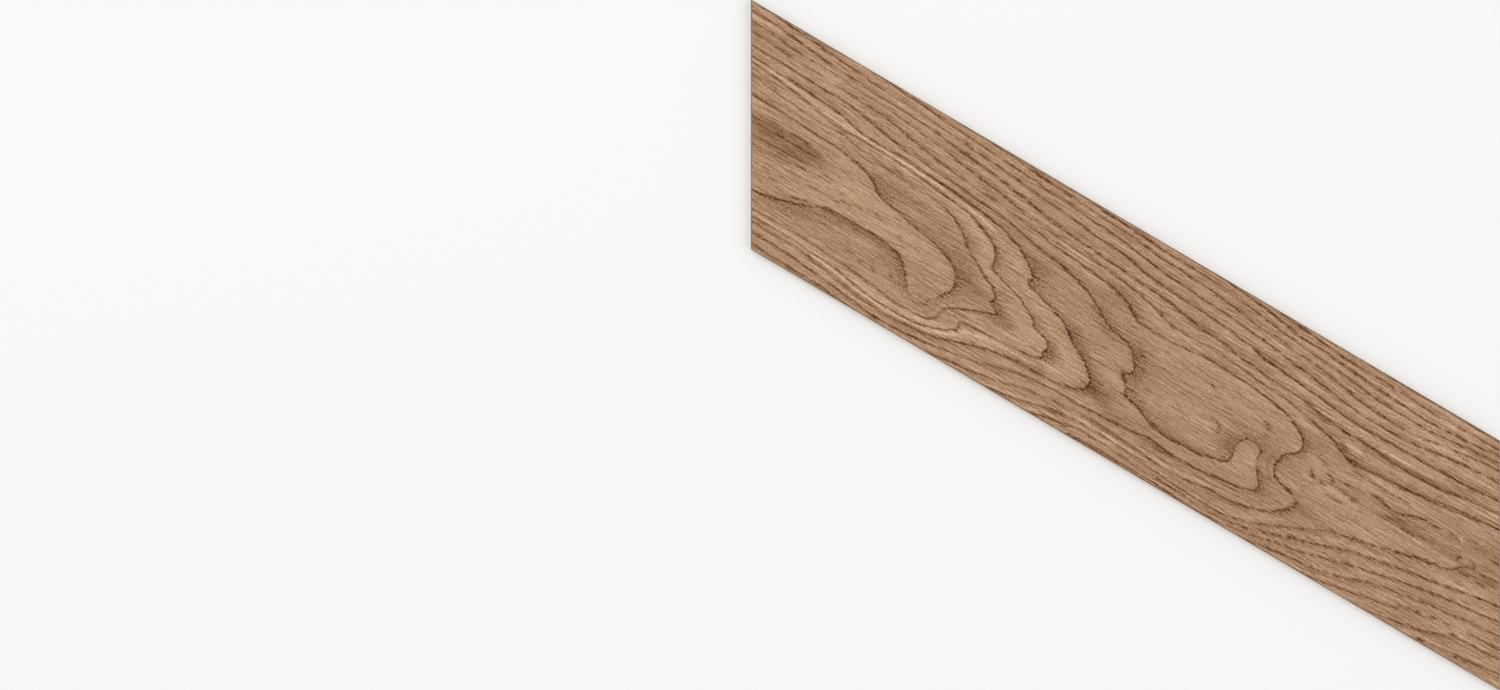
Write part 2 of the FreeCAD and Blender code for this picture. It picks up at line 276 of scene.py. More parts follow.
# Fine strokes, single pores and pale fibres, the same way.
STROKES = [
    (12, 1.6, [(24.9, 46.1), (55.2, 47.9), (92, 50.7), (119.7, 55.3), (150, 57.2)]),
    (22, 1.6, [(129.8, 55.3), (184.1, 58.1), (221.8, 59), (257.7, 61.8), (285.4, 65), (303.8, 70.1)]),
    (12, 1.3, [(150, 57), (174.9, 57.3), (197.9, 57.7), (220.9, 58.6)]),
    (30, 1.5, [(165.7, 174.3), (188.7, 175.7), (211.7, 179.4), (230.1, 182), (262.3, 182.9), (285.4, 181.1), (303.8, 176.8), (318.5, 170.6), (324, 164.1), (342.4, 159.5), (368.2, 157.8), (395.8, 156.7)]),
    (24, 1.1, [(299.2, 155.2), (307.4, 154.5)]), (30, 1.1, [(635.1, 59.9), (662.8, 60.5), (704.2, 61.8)]),
    (50, 1.1, [(706.9, 62.1), (727.2, 61.6), (745.6, 60.9)]), (26, 1.1, [(745.6, 61.2), (764, 60.5)]),
    (20, 1.4, [(658.2, 118.9), (681.2, 118.2), (708.8, 118), (736.4, 117.5), (782.4, 118.5), (828.4, 119.9)]),
    (56, 1.1, [(677.5, 74.9), (697.7, 74.5)]), (8, 1.3, [(676.6, 126.3), (736.4, 127.7), (768.6, 125.4)]), (16, 1.2, [(529.3, 60.9), (589.1, 61.8)]),
    (14, 1.2, [(745.6, 46.1), (810, 42.4)]), (20, 1.1, [(458.4, 179.3), (506.3, 180.9), (556, 184.4)]), (60, 1.1, [(813.7, 96.3), (818.3, 98)]),
    (20, 1.1, [(814.2, 102.7), (819.2, 104.2)]), (14, 1.3, [(827.5, 112.9), (833, 111.6)]), (38, 1, [(425.3, 182.4), (435.4, 182.4)]),
    (6, 0.9, [(493.4, 83.7), (500.7, 83.5)]), (24, 1.1, [(548.6, 192.1), (572.5, 192.7)]), (-42, 1.1, [(53.4, 91.5), (64.4, 91.6)]),
    (-20, 1.2, [(70, 89.6), (88.4, 89.4)]), (-34, 1.1, [(91.1, 87.6), (103.1, 87.2), (116, 88.5)]), (-42, 1.2, [(80.1, 94.4), (92, 94)]),
    (-22, 1.2, [(93, 95), (128.9, 95)]), (-22, 1, [(120.6, 91.6), (133.5, 91.5)]), (-8, 1.1, [(97.6, 102.5), (111.4, 102.3)]),
    (-30, 1.1, [(63.5, 106.6), (77.3, 106.2), (89.3, 105.9)]), (-34, 1.1, [(89.3, 105.7), (101.3, 105.1), (117.8, 104.7)]),
    (-28, 1, [(110.5, 109.4), (125.2, 110.6)]), (26, 1, [(103.1, 116.2), (127.9, 115.8)]), (-28, 1, [(107.7, 117.9), (129.8, 117.8)]),
    (-18, 1, [(93.9, 101.1), (109.5, 100.9)]), (-16, 1.1, [(116, 99), (134.4, 98.7)]), (-18, 1, [(139, 105.7), (151, 105.5)]),
    (-28, 1.1, [(91.1, 108.1), (103.1, 107.9)]), (-38, 1.1, [(66.3, 113.8), (88.4, 113.4)]), (-32, 1, [(88.4, 112.5), (106.8, 112)]),
    (-32, 1, [(131.6, 108.4), (148.2, 108.4)]), (-16, 1, [(138.1, 104.2), (154.6, 104)]), (-18, 1, [(152.8, 92.8), (162.9, 92.6)]),
    (-28, 1, [(132.6, 120.4), (151, 120), (167.5, 119.9)]), (-52, 1, [(163.8, 117.1), (176.7, 117.3)]), (-22, 1, [(174.9, 114.5), (189.6, 114.5)]),
    (-34, 1, [(187.8, 111.6), (204.3, 111.9)]), (-20, 1, [(154.6, 111.2), (169.4, 111)]), (-28, 1, [(57.1, 59.2), (63.5, 59.9)]),
    (-28, 1, [(46, 57.5), (55.2, 58.1)]), (-50, 1.1, [(141.8, 65.5), (153.7, 66.2)]), (-42, 1, [(127, 64.5), (142.7, 64.9)]),
    (-50, 1.2, [(190.5, 67.9), (203.4, 68.1)]), (-28, 1, [(90.2, 47), (96.7, 47.3)]), (-38, 1, [(116.9, 48.9), (125.2, 49.4)]),
    (-28, 1, [(131.6, 50.9), (139, 51.8)]), (-46, 1.1, [(144.5, 53.1), (151.9, 55)]), (-24, 1, [(158.3, 54.2), (167.5, 54.6)]),
    (-22, 1, [(209.9, 55.1), (219.1, 55.9)]), (-16, 1.1, [(136.2, 77.3), (139.9, 77.6)]), (-26, 1.1, [(154.6, 80.2), (167.5, 81.7)]),
    (-12, 1.1, [(182.3, 86.7), (188.7, 91.3)]), (-12, 1.1, [(237.5, 73), (246.7, 74.7), (255, 78), (263.7, 83.2)]),
    (-28, 1.2, [(413.3, 83), (419.7, 85.6), (427.1, 88.5)]), (-62, 1.4, [(226.4, 118.6), (231, 118.6)]),
    (-62, 1.2, [(122.4, 138.3), (133.5, 135.2), (139.9, 133.5)]), (-18, 1.2, [(139.9, 133.5), (152.8, 131.5)]),
    (-48, 1.2, [(152.8, 130.9), (158.3, 129.3), (165.7, 129.3)]), (-10, 1.2, [(134.4, 140.7), (147.3, 139.2), (156.5, 139.6)]),
    (-8, 1.1, [(156.5, 137.4), (176.7, 136.6)]), (-36, 1, [(96.7, 132.8), (105.9, 132.8)]), (-24, 1, [(86.5, 126.7), (117.8, 126.3)]),
    (-46, 1, [(206.4, 156.7), (210.8, 157)]), (-46, 1, [(220, 157.3), (225.5, 157.8)]), (-58, 1, [(238.4, 153.8), (241.7, 154.9)]),
    (-20, 1, [(238, 156.4), (241.5, 157.7)]), (-38, 1, [(191.5, 153.4), (200.7, 153.8)]), (-18, 1, [(142.7, 163.9), (159.2, 163.9)]),
    (-28, 1, [(162, 164.5), (175.8, 165.2)]), (-10, 1.1, [(195.1, 165.8), (208, 167.1), (220, 168.9)]), (-18, 1, [(253.1, 173.7), (263.3, 174.3)]),
    (-14, 1, [(99.4, 170.8), (116, 170.9)]), (-38, 1, [(206.2, 175.7), (214.5, 177.6)]), (-36, 1, [(103.1, 175.2), (112.3, 175.2)]),
    (-50, 1.1, [(163.8, 176.1), (171.2, 177.4)]), (-10, 1.1, [(174.9, 178.1), (185, 179.2)]), (-50, 1.1, [(197, 181.1), (213.6, 183.1)]),
    (-26, 1.1, [(217.2, 184.4), (226.4, 185.3)]), (-28, 1.1, [(232.9, 186.1), (241.2, 186.8)]),
    (-18, 1.1, [(142.7, 184.4), (152.8, 185), (161.1, 185.7)]), (-50, 1.2, [(162.9, 186.2), (171.2, 186.8), (181.3, 186.8)]),
    (-62, 1.1, [(192.4, 188.1), (200.7, 189), (208, 189.9)]), (-34, 1.1, [(206.2, 189.9), (215.4, 191.2)]),
    (-24, 1.1, [(224.6, 191.8), (232.9, 192.7)]), (-32, 1.1, [(242.1, 193.3), (251.3, 194)]),
    (-24, 1, [(298.2, 153.6), (307.4, 152.9), (318.5, 152.5)]), (-32, 1, [(296.4, 156.4), (313, 156.2)]),
    (-26, 1.1, [(317.6, 157.3), (333.2, 156.2), (348.9, 155.1)]), (-26, 1, [(368.2, 153.4), (386.6, 152.1)]),
    (-44, 1.2, [(313.9, 166.5), (318.5, 166)]), (-34, 1.1, [(333.2, 169.3), (339.7, 168.2)]), (-30, 1.2, [(368.2, 163), (382, 162.8)]),
    (-38, 1.2, [(377.4, 161.9), (406.9, 161.2)]), (-24, 1.1, [(388.4, 171.3), (402.3, 170.8)]), (-38, 1, [(403.2, 169.8), (414.2, 169.5)]),
    (-56, 1.1, [(426.2, 176.8), (439.1, 176.7)]), (-62, 1, [(427.1, 183.7), (439.1, 183.7)]), (-12, 1.1, [(329.5, 194), (338.7, 193.6)]),
    (-32, 1.2, [(462.1, 54.8), (469.5, 56.2)]), (-20, 1.1, [(482.3, 59.6), (487.9, 60.9)]), (-30, 1, [(492.5, 84.8), (498.9, 85.2)]),
    (-24, 1, [(504.4, 92.8), (517.3, 92.2)]), (-22, 1, [(486, 101.4), (511.8, 101.6)]), (-28, 1, [(539.4, 102.3), (552.3, 102.2)]),
    (-14, 1, [(524.7, 107.9), (543.1, 107.1)]), (-12, 1.1, [(469.5, 97.4), (475, 97.7)]), (-50, 1.2, [(475, 99.9), (480.5, 100.3)]),
    (-52, 1, [(602.9, 94.8), (611.2, 95.9)]), (-12, 1, [(606.6, 98.7), (615.8, 98.1)]), (-28, 1, [(608.4, 104.2), (616.7, 104.7)]),
    (-60, 1.3, [(544, 89.7), (550, 91.8)]), (-26, 1.1, [(557.8, 115.8), (564.3, 116.2), (569.8, 118.6), (572.9, 122.6), (571.3, 128.2)]),
    (-18, 1, [(525.6, 122.1), (532, 124.5), (537.6, 128.2)]), (-16, 1, [(539.4, 129.1), (533, 132.2)]), (16, 1, [(532, 130), (539.4, 128)]),
    (-50, 1.2, [(466.7, 120.4), (469.5, 123.9), (472.2, 125.9)]), (-32, 1.1, [(472.2, 123.5), (475, 127.8), (475, 131.5)]),
    (-16, 1, [(472.2, 132), (487.9, 132.2)]), (-10, 1.2, [(479.6, 133.7), (481.4, 136.5), (480.1, 139.2)]),
    (-8, 1, [(464.8, 139.2), (480.5, 139.4)]), (-26, 1.1, [(500.7, 144.6), (506.3, 146.6)]), (-16, 1.2, [(512.7, 150.1), (519.2, 151.4)]),
    (-40, 1.1, [(514.6, 148.4), (521.9, 149.2)]), (-32, 1.2, [(539.4, 151.2), (552.3, 151.6)]), (-20, 1.2, [(557.8, 152.1), (565.2, 151.9)]),
    (-48, 1.1, [(575.3, 149.4), (581.8, 148.4)]), (-34, 1.2, [(506.3, 164.5), (512.7, 163.6)]),
    (-16, 1.2, [(517.3, 162.1), (526.5, 161.9), (533.9, 163.2)]), (-36, 0.9, [(529.3, 166), (537.6, 166.9), (546.8, 167.6)]),
    (-16, 1.1, [(543.1, 164.3), (556.9, 164.1)]), (-48, 1.1, [(558.7, 163.4), (567, 163.4)]), (-18, 1.1, [(467.6, 167.4), (487.9, 166.3)]),
    (-24, 1, [(440, 169.1), (451, 169.5)]), (-28, 1, [(454.7, 175.7), (469.5, 175.5), (487.9, 176.1), (504.4, 176.8)]),
    (-18, 1, [(510.9, 177), (521, 177.9)]), (-14, 1, [(521, 178.5), (541.2, 179.6)]), (-36, 1, [(435.4, 184), (442.8, 182.2)]),
    (-24, 1, [(458.4, 182.2), (493.4, 182)]), (-26, 1, [(497.1, 182.7), (515.5, 184)]), (-16, 1, [(515.5, 184.4), (529.3, 185.3)]),
    (-30, 1, [(528.4, 185.7), (555.1, 186.1)]), (-48, 1.1, [(444.6, 193.6), (451, 190.5)]), (-30, 1.1, [(469.5, 189), (479.6, 188.1)]),
    (-26, 1, [(501.7, 189), (515.5, 188.6)]), (-56, 1.1, [(544, 189.9), (551.4, 190.5)]), (-60, 1, [(552.3, 190.5), (576.2, 190.7)]),
    (-14, 1, [(591, 189), (616.7, 189)]), (-8, 1.1, [(647.1, 136.5), (651.7, 136.1), (656.3, 137.9), (658.3, 140.1), (657.2, 142.5)]),
    (-32, 1.1, [(662.8, 143.6), (666.4, 142.5), (669.6, 144.9)]), (-32, 1.1, [(664.6, 149.4), (662.8, 153.6)]),
    (-14, 1.1, [(637.9, 168.7), (644.9, 166)]), (-22, 1.2, [(624.1, 155.4), (630.5, 152.9)]), (-22, 1.1, [(646.2, 177.2), (651.7, 176.8)]),
    (-26, 1.1, [(659.1, 173), (668.3, 170.2)]), (-28, 1.1, [(669.2, 168.4), (673.8, 168)]), (-40, 1.2, [(683, 163.2), (687.6, 161.9)]),
    (-40, 1.1, [(695, 156.2), (703.3, 154)]), (-16, 1.1, [(701.4, 151.9), (706.9, 150.7)]), (-46, 1.2, [(706, 149.9), (713.4, 149.4)]),
    (-10, 1.2, [(719.8, 147.5), (725.3, 147.5)]), (-40, 1.2, [(726.3, 146.4), (732.7, 145.9)]), (-26, 1.2, [(758.5, 138.1), (764.9, 137.4)]),
    (-36, 1.2, [(770.5, 135.3), (776.9, 134.1)]), (-36, 1.2, [(776, 133.3), (783.3, 132.8)]), (-52, 1.2, [(784.3, 131.3), (794.4, 130.6)]),
    (-56, 1.2, [(793.5, 129.4), (801.7, 128.5)]), (-50, 1.2, [(802.7, 127.6), (810, 126.5)]), (-8, 1.1, [(818.3, 124.3), (823.8, 123)]),
    (-16, 1.2, [(652.6, 182.9), (658.2, 182.2)]), (-44, 1.2, [(661.8, 180.3), (667.4, 180)]), (-16, 1.2, [(668.3, 178.5), (672.9, 177.9)]),
    (-62, 1.2, [(675.6, 175.4), (681.2, 174.4)]), (-42, 1.2, [(681.2, 173.9), (686.7, 173.3)]), (-24, 1.2, [(688.5, 172.4), (693.1, 172)]),
    (-54, 1.2, [(695.9, 169.3), (701.4, 168.7)]), (-52, 1.2, [(702.3, 167.6), (707.9, 166.5)]), (-62, 1.2, [(707.9, 165.8), (712.5, 165.2)]),
    (-62, 1.2, [(712.5, 164.1), (718, 163)]), (-50, 1.2, [(719.8, 161.5), (727.2, 160.1)]), (-38, 1.2, [(727.2, 159), (736.4, 156.9)]),
    (-38, 1.2, [(737.3, 156.4), (744.7, 155.3)]), (-40, 1.2, [(749.3, 153.8), (756.6, 152.7)]), (-32, 1.3, [(763.6, 151.6), (770.5, 150.5)]),
    (-32, 1.2, [(776, 149), (783.3, 148.1)]), (-18, 1.2, [(784.3, 147.5), (797.1, 145.3)]), (-34, 1.2, [(798.1, 144.6), (810, 144)]),
    (-48, 1.2, [(810, 142.5), (819.2, 141.8)]), (-40, 1.2, [(834.9, 138.5), (842.3, 138.1)]), (-22, 1.2, [(852.4, 135.5), (863.4, 134.8)]),
    (-32, 1.1, [(681.2, 183.5), (689.4, 182.6)]), (-46, 1.1, [(690.4, 181.6), (697.7, 180.7)]), (-30, 1.1, [(701.4, 179.1), (707.9, 178.1)]),
    (-62, 1.2, [(708.8, 176.7), (716.1, 175.7)]), (-12, 1.1, [(718, 174.4), (727.2, 172.8)]), (-36, 1.2, [(732.7, 170), (737.3, 169.5)]),
    (-16, 1.1, [(738.2, 168.7), (743.8, 168)]), (-14, 1.2, [(747.4, 166.1), (755.7, 165)]), (-22, 1.1, [(757.6, 163.6), (764.9, 162.6)]),
    (-28, 1.2, [(767.7, 161.7), (773.2, 161)]), (-26, 1.1, [(777.8, 159.1), (787.9, 158.2)]), (-36, 1.1, [(789.8, 156.9), (799.9, 156.7)]),
    (-22, 1.1, [(799.9, 155.6), (804.5, 155.1)]), (-14, 1.1, [(805.4, 154.5), (811, 154.2)]), (-62, 1.2, [(812.8, 153.4), (819.2, 152.7)]),
    (-26, 1.1, [(820.2, 151.2), (828.4, 149.9)]), (-24, 1.1, [(832.1, 150.3), (838.6, 150.1)]), (-26, 1.1, [(845, 149.9), (856.1, 148.6)]),
    (-10, 1.2, [(864.3, 147.7), (869.9, 146.8)]), (-22, 1.2, [(867.1, 145.5), (875.4, 144.9)]), (-34, 1.1, [(878.1, 143.8), (886.4, 142.9)]),
    (-16, 1.1, [(695.9, 190.5), (700.5, 190.3)]), (-26, 1.1, [(707.9, 189), (717.1, 187.7)]), (-30, 1.1, [(730.9, 183.5), (737.3, 182.6)]),
    (-18, 1.1, [(741.9, 179.8), (750.2, 178.5)]), (-28, 1.2, [(752, 176.3), (757.6, 175.5)]), (-26, 1.1, [(761.2, 173.7), (767.7, 172.6)]),
    (-10, 1.1, [(776, 169.6), (787, 168.4)]), (-58, 1.2, [(799, 166.3), (804.5, 166)]), (-60, 1.1, [(810, 164.7), (819.2, 163.7)]),
    (-44, 1.1, [(821.1, 163.2), (829.4, 162.3)]), (-34, 1.1, [(832.1, 161.9), (842.3, 161.4)]), (-56, 1.1, [(843.2, 160.8), (848.7, 160.2)]),
    (-46, 1.2, [(851.5, 159.9), (857.9, 159)]), (-14, 1.1, [(860.7, 158.4), (868, 158)]), (-16, 1.2, [(879.1, 157.1), (884.6, 156.6)]),
    (-12, 1.1, [(736.4, 193.8), (750.2, 191.6)]), (-26, 1.1, [(762.2, 188.1), (769.5, 187.2)]), (-22, 1.1, [(771.4, 185.9), (778.7, 185)]),
    (-14, 1.1, [(780.6, 183.7), (789.8, 182.6)]), (-38, 1.1, [(791.6, 182), (799, 181.3)]), (-50, 1.2, [(794.4, 177.9), (801.7, 177)]),
    (-40, 1.2, [(802.7, 175.5), (810, 174.4)]), (-62, 1.2, [(811.9, 174.1), (818.3, 173.3)]), (-62, 1.2, [(826.6, 171.3), (832.1, 170.8)]),
    (-62, 1.1, [(839.5, 170.6), (845.9, 170.2)]), (-62, 1.1, [(863.4, 168.2), (868.9, 167.6)]), (-38, 1.2, [(793.5, 193.1), (810, 190.9)]),
    (-26, 1.2, [(810, 189.9), (822, 188.5)]), (-28, 1.2, [(822, 187.7), (836.7, 185.9)]), (-34, 1.2, [(836.7, 182.7), (843.2, 182)]),
    (-16, 1.1, [(843.2, 181.1), (849.6, 179.6)]), (-58, 1.1, [(849.6, 175.5), (857, 175)]), (-30, 1.2, [(872.6, 175.2), (877.2, 174.6)]),
    (-22, 1.2, [(881.8, 175.5), (892.9, 175.2), (903, 174.1)]), (-62, 1.1, [(862.5, 192.9), (868, 192.1)]),
    (-34, 1.1, [(871.7, 192.3), (877.2, 191.6)]), (-26, 1.1, [(884.6, 188.5), (892.9, 187.7)]), (-62, 1.1, [(824.8, 194.7), (834.9, 194.9)]),
    (-20, 1.3, [(640.7, 64.2), (670.1, 64.2)]), (-60, 1.4, [(670.1, 65.6), (680.2, 66)]), (-42, 1.3, [(683, 64.5), (708.8, 65.1)]),
    (-28, 1.3, [(710.6, 67.3), (723.5, 67.9)]), (-18, 1.2, [(750.2, 67.1), (758.5, 67.3)]), (-16, 1.2, [(767.7, 67.1), (774.1, 66.6)]),
    (-38, 1.3, [(788.9, 64.2), (794.4, 63.2)]), (-22, 1.2, [(796.2, 61.8), (803.6, 61)]), (-30, 1.3, [(640.7, 71), (649.9, 73.8)]),
    (-14, 1.3, [(648, 74.1), (655.4, 75.1)]), (-46, 1.2, [(658.2, 76), (670.1, 77.4)]), (-62, 1.2, [(673.8, 77.1), (684.8, 76.5)]),
    (-28, 1.2, [(677.5, 79.8), (685.8, 79.5)]), (-44, 1.2, [(683.9, 84.6), (690.4, 85.4), (698.7, 85.7)]),
    (-22, 1.1, [(672.9, 82.1), (679.3, 83.9)]), (-24, 1.2, [(722.6, 69.2), (730, 69.3)]), (-22, 1.2, [(735.5, 69.2), (752, 69.2)]),
    (-26, 1.2, [(688.5, 88), (697.7, 88.1)]), (-26, 1.1, [(697.7, 85.9), (706.9, 85.7), (718, 84.1)]), (-62, 1.2, [(740.1, 84.1), (750.2, 83.5)]),
    (-8, 1.1, [(746.5, 79.8), (751.1, 80.6)]), (-28, 1.2, [(750.2, 82.6), (765.8, 81.5)]), (-62, 1.2, [(765.8, 81.1), (784.3, 79.7)]),
    (-62, 1.2, [(782.4, 79.3), (800.8, 77.1)]), (-50, 1.2, [(800.8, 76.5), (823.8, 74.3)]), (-14, 1.3, [(760.3, 78.4), (782.4, 76.2), (810, 73.4)]),
    (-32, 1.1, [(696.8, 92.2), (713.4, 92.6)]), (-34, 1.1, [(713.4, 92.8), (736.4, 93.1), (758.5, 92)]), (-18, 1, [(697.7, 96.3), (710.6, 96.1)]),
    (-18, 1, [(668.3, 100.3), (676.6, 100.1)]), (-52, 1.6, [(723.5, 103.1), (729, 102), (736.4, 102.3)]),
    (-58, 1.2, [(735.5, 104.4), (744.7, 104.7)]), (-30, 1.1, [(742.8, 105), (749.3, 105.7), (755.7, 105)]),
    (-62, 1.4, [(753, 105.1), (759.4, 103.4), (765.8, 100.9), (773.2, 98.7), (780.6, 97.5)]),
    (-62, 1.1, [(780.6, 97.7), (787.9, 98.1), (795.3, 97.9)]), (-56, 1.1, [(802.7, 96.8), (808.6, 96.4)]), (-54, 1.1, [(810, 98.3), (815.6, 98.1)]),
    (-66, 1.2, [(677.1, 106.4), (683.9, 107.9), (686.1, 110.1), (685, 113)]), (-20, 1, [(696.8, 106.4), (702.9, 105.8)]),
    (-62, 1.2, [(662.3, 110.6), (666.4, 113.4), (670.6, 117.1)]), (-62, 1, [(664.6, 117.3), (670.1, 117.3)]),
    (-62, 1, [(676.6, 117.6), (683, 117.3)]), (-22, 1.1, [(706, 114.3), (716.1, 113.8)]), (-30, 1.1, [(706.9, 117.3), (714.3, 116.9)]),
    (-24, 1.1, [(743.8, 113.2), (757.6, 113)]), (-48, 1.8, [(761.2, 115.8), (778.7, 115.4)]), (-18, 1.1, [(769.5, 113), (795.3, 112.9)]),
    (-28, 1, [(685.8, 123.7), (706.9, 123.4)]), (-34, 1.1, [(819.2, 93.9), (826.6, 93.1)]), (-14, 1, [(825.7, 92.8), (831.2, 90.7)]),
    (-26, 1, [(829.4, 96.3), (834.9, 96.1)]), (-52, 1.1, [(847.4, 99.4), (857.9, 99.2)]), (-8, 1, [(835.8, 94), (841.3, 94.4)]),
    (-42, 1, [(850.5, 95), (856.1, 94.6)]), (-16, 1.5, [(843.2, 107.3), (863.4, 107)]), (-26, 1.2, [(848.7, 115.6), (857, 114.9)]),
    (-26, 1.2, [(856.1, 114.1), (865.3, 113.6)]), (-50, 1.2, [(827.5, 123.4), (839.5, 122.4)]), (-56, 1.1, [(845, 123.5), (856.1, 123)]),
    (-12, 1.1, [(804.5, 108.4), (822, 108.8)]), (-6, 1.1, [(810, 114.7), (821.1, 114)]),
    (-48, 1, [(834, 109.5), (837.6, 110.6), (840, 112.1), (837.6, 114), (833, 115.8), (828.4, 118.2)]),
    (-62, 1.3, [(829, 117.8), (825.7, 120.2), (823.5, 122.6)]), (-54, 1.1, [(824.2, 109.9), (822, 112.5), (820.9, 115.3)]),
    (-24, 0.9, [(825.7, 109.5), (834, 109.5)]), (-24, 1.1, [(18.4, 8.5), (28.5, 8.9)]), (-32, 1.1, [(40.5, 2.8), (53.8, 3)]),
    (-28, 1.1, [(69, 4.1), (77.3, 4.6)]), (-42, 1.1, [(78.2, 5.7), (92, 6.6)]), (-30, 1.1, [(96.7, 7), (103.1, 7.3)]),
    (-16, 1, [(108.6, 8.1), (126.1, 7.9)]), (-34, 1, [(129.8, 9.2), (151, 9.4)]), (-52, 1.5, [(51.5, 10.7), (62.6, 11.4)]),
    (-46, 1.2, [(40.5, 10.3), (51.5, 10.5)]), (-38, 1.1, [(67.2, 12.2), (74.6, 12.7)]), (-40, 1.3, [(77.3, 13.2), (93, 14.1)]),
    (-50, 1.2, [(113.2, 16.4), (123.3, 16.8)]), (-18, 1, [(138.1, 17), (162, 16.6), (189.6, 16.9)]), (-40, 1.2, [(28.5, 15.7), (35, 16.2)]),
    (-36, 1.1, [(41.4, 17), (50.6, 17.3)]), (-42, 1.2, [(55.2, 19), (66.3, 19.7)]), (-34, 1.1, [(73.6, 20.1), (79.6, 20.3)]),
    (-12, 1.1, [(96.7, 20.1), (106.8, 20.5)]), (-8, 1, [(129.8, 21.9), (140.8, 22)]), (-30, 1.1, [(164.8, 22.9), (174, 23.2)]),
    (-44, 1.2, [(176.7, 24), (184.1, 24.9)]), (-30, 1.2, [(196.1, 26.6), (203.4, 27.5)]), (-38, 1.2, [(20.3, 24.3), (27.6, 24.9)]),
    (-48, 1.1, [(52.5, 26.6), (59.8, 27.1)]), (-26, 1.1, [(40.5, 26), (50.6, 26.6)]), (-30, 1, [(70.9, 27.5), (92, 27.5)]),
    (-36, 1.1, [(106.8, 27.8), (130.7, 27.9)]), (-42, 1.1, [(139.9, 29), (148.2, 29.4)]), (-42, 1.1, [(151, 30.4), (160.2, 30.4)]),
    (-44, 1.1, [(162.5, 30.9), (168, 31.3)]), (-36, 1.1, [(168.5, 31.9), (179.5, 32.5)]), (-44, 1.1, [(181.3, 34.5), (189.6, 34.7)]),
    (-32, 1.2, [(190.5, 35.6), (196.1, 36.3)]), (-30, 1.2, [(53.4, 35.6), (66.3, 35.8)]), (-32, 1.1, [(78.2, 36.9), (92, 36.6)]),
    (-40, 1.1, [(93, 36.9), (97.6, 37.4), (109.5, 37.6)]), (-22, 1.1, [(127, 37.8), (138.1, 39.3)]),
    (-28, 1.2, [(140.8, 39.8), (148.2, 41.1), (155.6, 41.5)]), (-46, 1.1, [(156.5, 42.6), (166.6, 43.1)]), (-38, 1.1, [(167.5, 43.7), (174, 44.5)]),
    (-22, 1.1, [(174.9, 44.8), (186.9, 46.8)]), (-62, 1.1, [(189.6, 47.6), (194.2, 48.3)]), (-50, 1.2, [(27.6, 44.3), (44.2, 44.8)]),
    (-40, 1.2, [(65.4, 45.2), (81, 45.2)]), (-26, 1.2, [(81, 45.9), (96.7, 47.2)]), (-18, 1.2, [(180.4, 54.4), (202.5, 53.7)]),
    (-20, 1.1, [(41.4, 50), (64.4, 51.1)]), (-18, 1.1, [(66.3, 51.6), (80.1, 53.7)]), (-26, 1.1, [(89.3, 55), (97.6, 55.9)]),
    (-10, 1.1, [(105.9, 56.8), (114.1, 57.5)]), (-16, 1.1, [(201.6, 5), (206.2, 5.3)]), (-8, 1, [(217.2, 6.6), (230.1, 6.6), (257.7, 8.3)]),
    (-16, 1.1, [(272.5, 9.6), (296.4, 10.1)]), (-46, 1, [(299.2, 5), (316.6, 5.3)]), (-36, 1.2, [(317.6, 5.5), (324.9, 6.1)]),
    (-48, 1.2, [(337.8, 6.8), (347, 7.2)]), (-20, 1.1, [(315.7, 12.2), (325.9, 13.3)]), (-56, 1.1, [(235.6, 13.4), (244.9, 13.5)]),
    (-32, 1.1, [(253.1, 14.6), (262.3, 14.9)]), (-30, 1.3, [(270.6, 16.6), (278.9, 16.9)]),
    (-42, 1.2, [(283.5, 18.3), (294.6, 17.7), (302.8, 19.4)]), (-40, 1.2, [(309.3, 19.8), (322.2, 21)]), (-30, 1.1, [(324, 21.2), (345.2, 22.1)]),
    (-36, 1.3, [(353.5, 23.4), (368.2, 24.3)]), (-44, 1.5, [(369.1, 24.5), (378.3, 25.6)]), (-20, 1.1, [(191.5, 17.9), (204.3, 17.9)]),
    (-46, 1.1, [(206.2, 17.9), (214.5, 19)]), (-20, 1.1, [(223.7, 20.1), (231, 20.8)]), (-52, 1.5, [(235.6, 21.2), (246.7, 21.2)]),
    (-32, 1.3, [(247.6, 22.7), (259.6, 24.2)]), (-20, 1.2, [(262.3, 24), (278.9, 25.4)]), (-42, 1.6, [(282.6, 26.6), (291.8, 26.7)]),
    (-62, 1.5, [(296.4, 28.8), (311.1, 29.9)]), (-56, 1.5, [(313, 30.8), (324.9, 31.9)]), (-62, 1.4, [(323.1, 32.6), (330.5, 33.6)]),
    (-54, 1.2, [(332.3, 34.9), (343.3, 35)]), (-60, 1.4, [(344.3, 35.8), (353.5, 36.3)]), (-56, 1.2, [(354.4, 37.1), (374.6, 38.2)]),
    (-32, 1.2, [(212.6, 28), (219.1, 28.6)]), (-14, 1.1, [(229.2, 30.1), (237.5, 30.4)]), (-52, 1.1, [(234.7, 31.9), (244.9, 32.3)]),
    (-38, 1.1, [(248.5, 32.5), (258.7, 33.6)]), (-60, 1.3, [(263.3, 34.1), (269.7, 34.9)]), (-44, 1.1, [(270.6, 35), (276.1, 35.4)]),
    (-50, 1.1, [(276.1, 36), (297.3, 38)]), (-50, 1.2, [(298.2, 38.7), (305.6, 39.6)]), (-28, 1.2, [(305.6, 40.2), (313, 40.8), (318.5, 42.8)]),
    (-30, 1.1, [(201.6, 37.8), (212.6, 38)]), (-32, 1.2, [(219.1, 40.4), (227.4, 40.8)]), (-20, 1.1, [(229.2, 41.5), (238.4, 42)]),
    (-36, 1.1, [(245.8, 43.3), (254.1, 43.7)]), (-48, 1.1, [(275.2, 44.6), (290.9, 45)]), (-10, 1.1, [(305.6, 47.6), (318.5, 48.3)]),
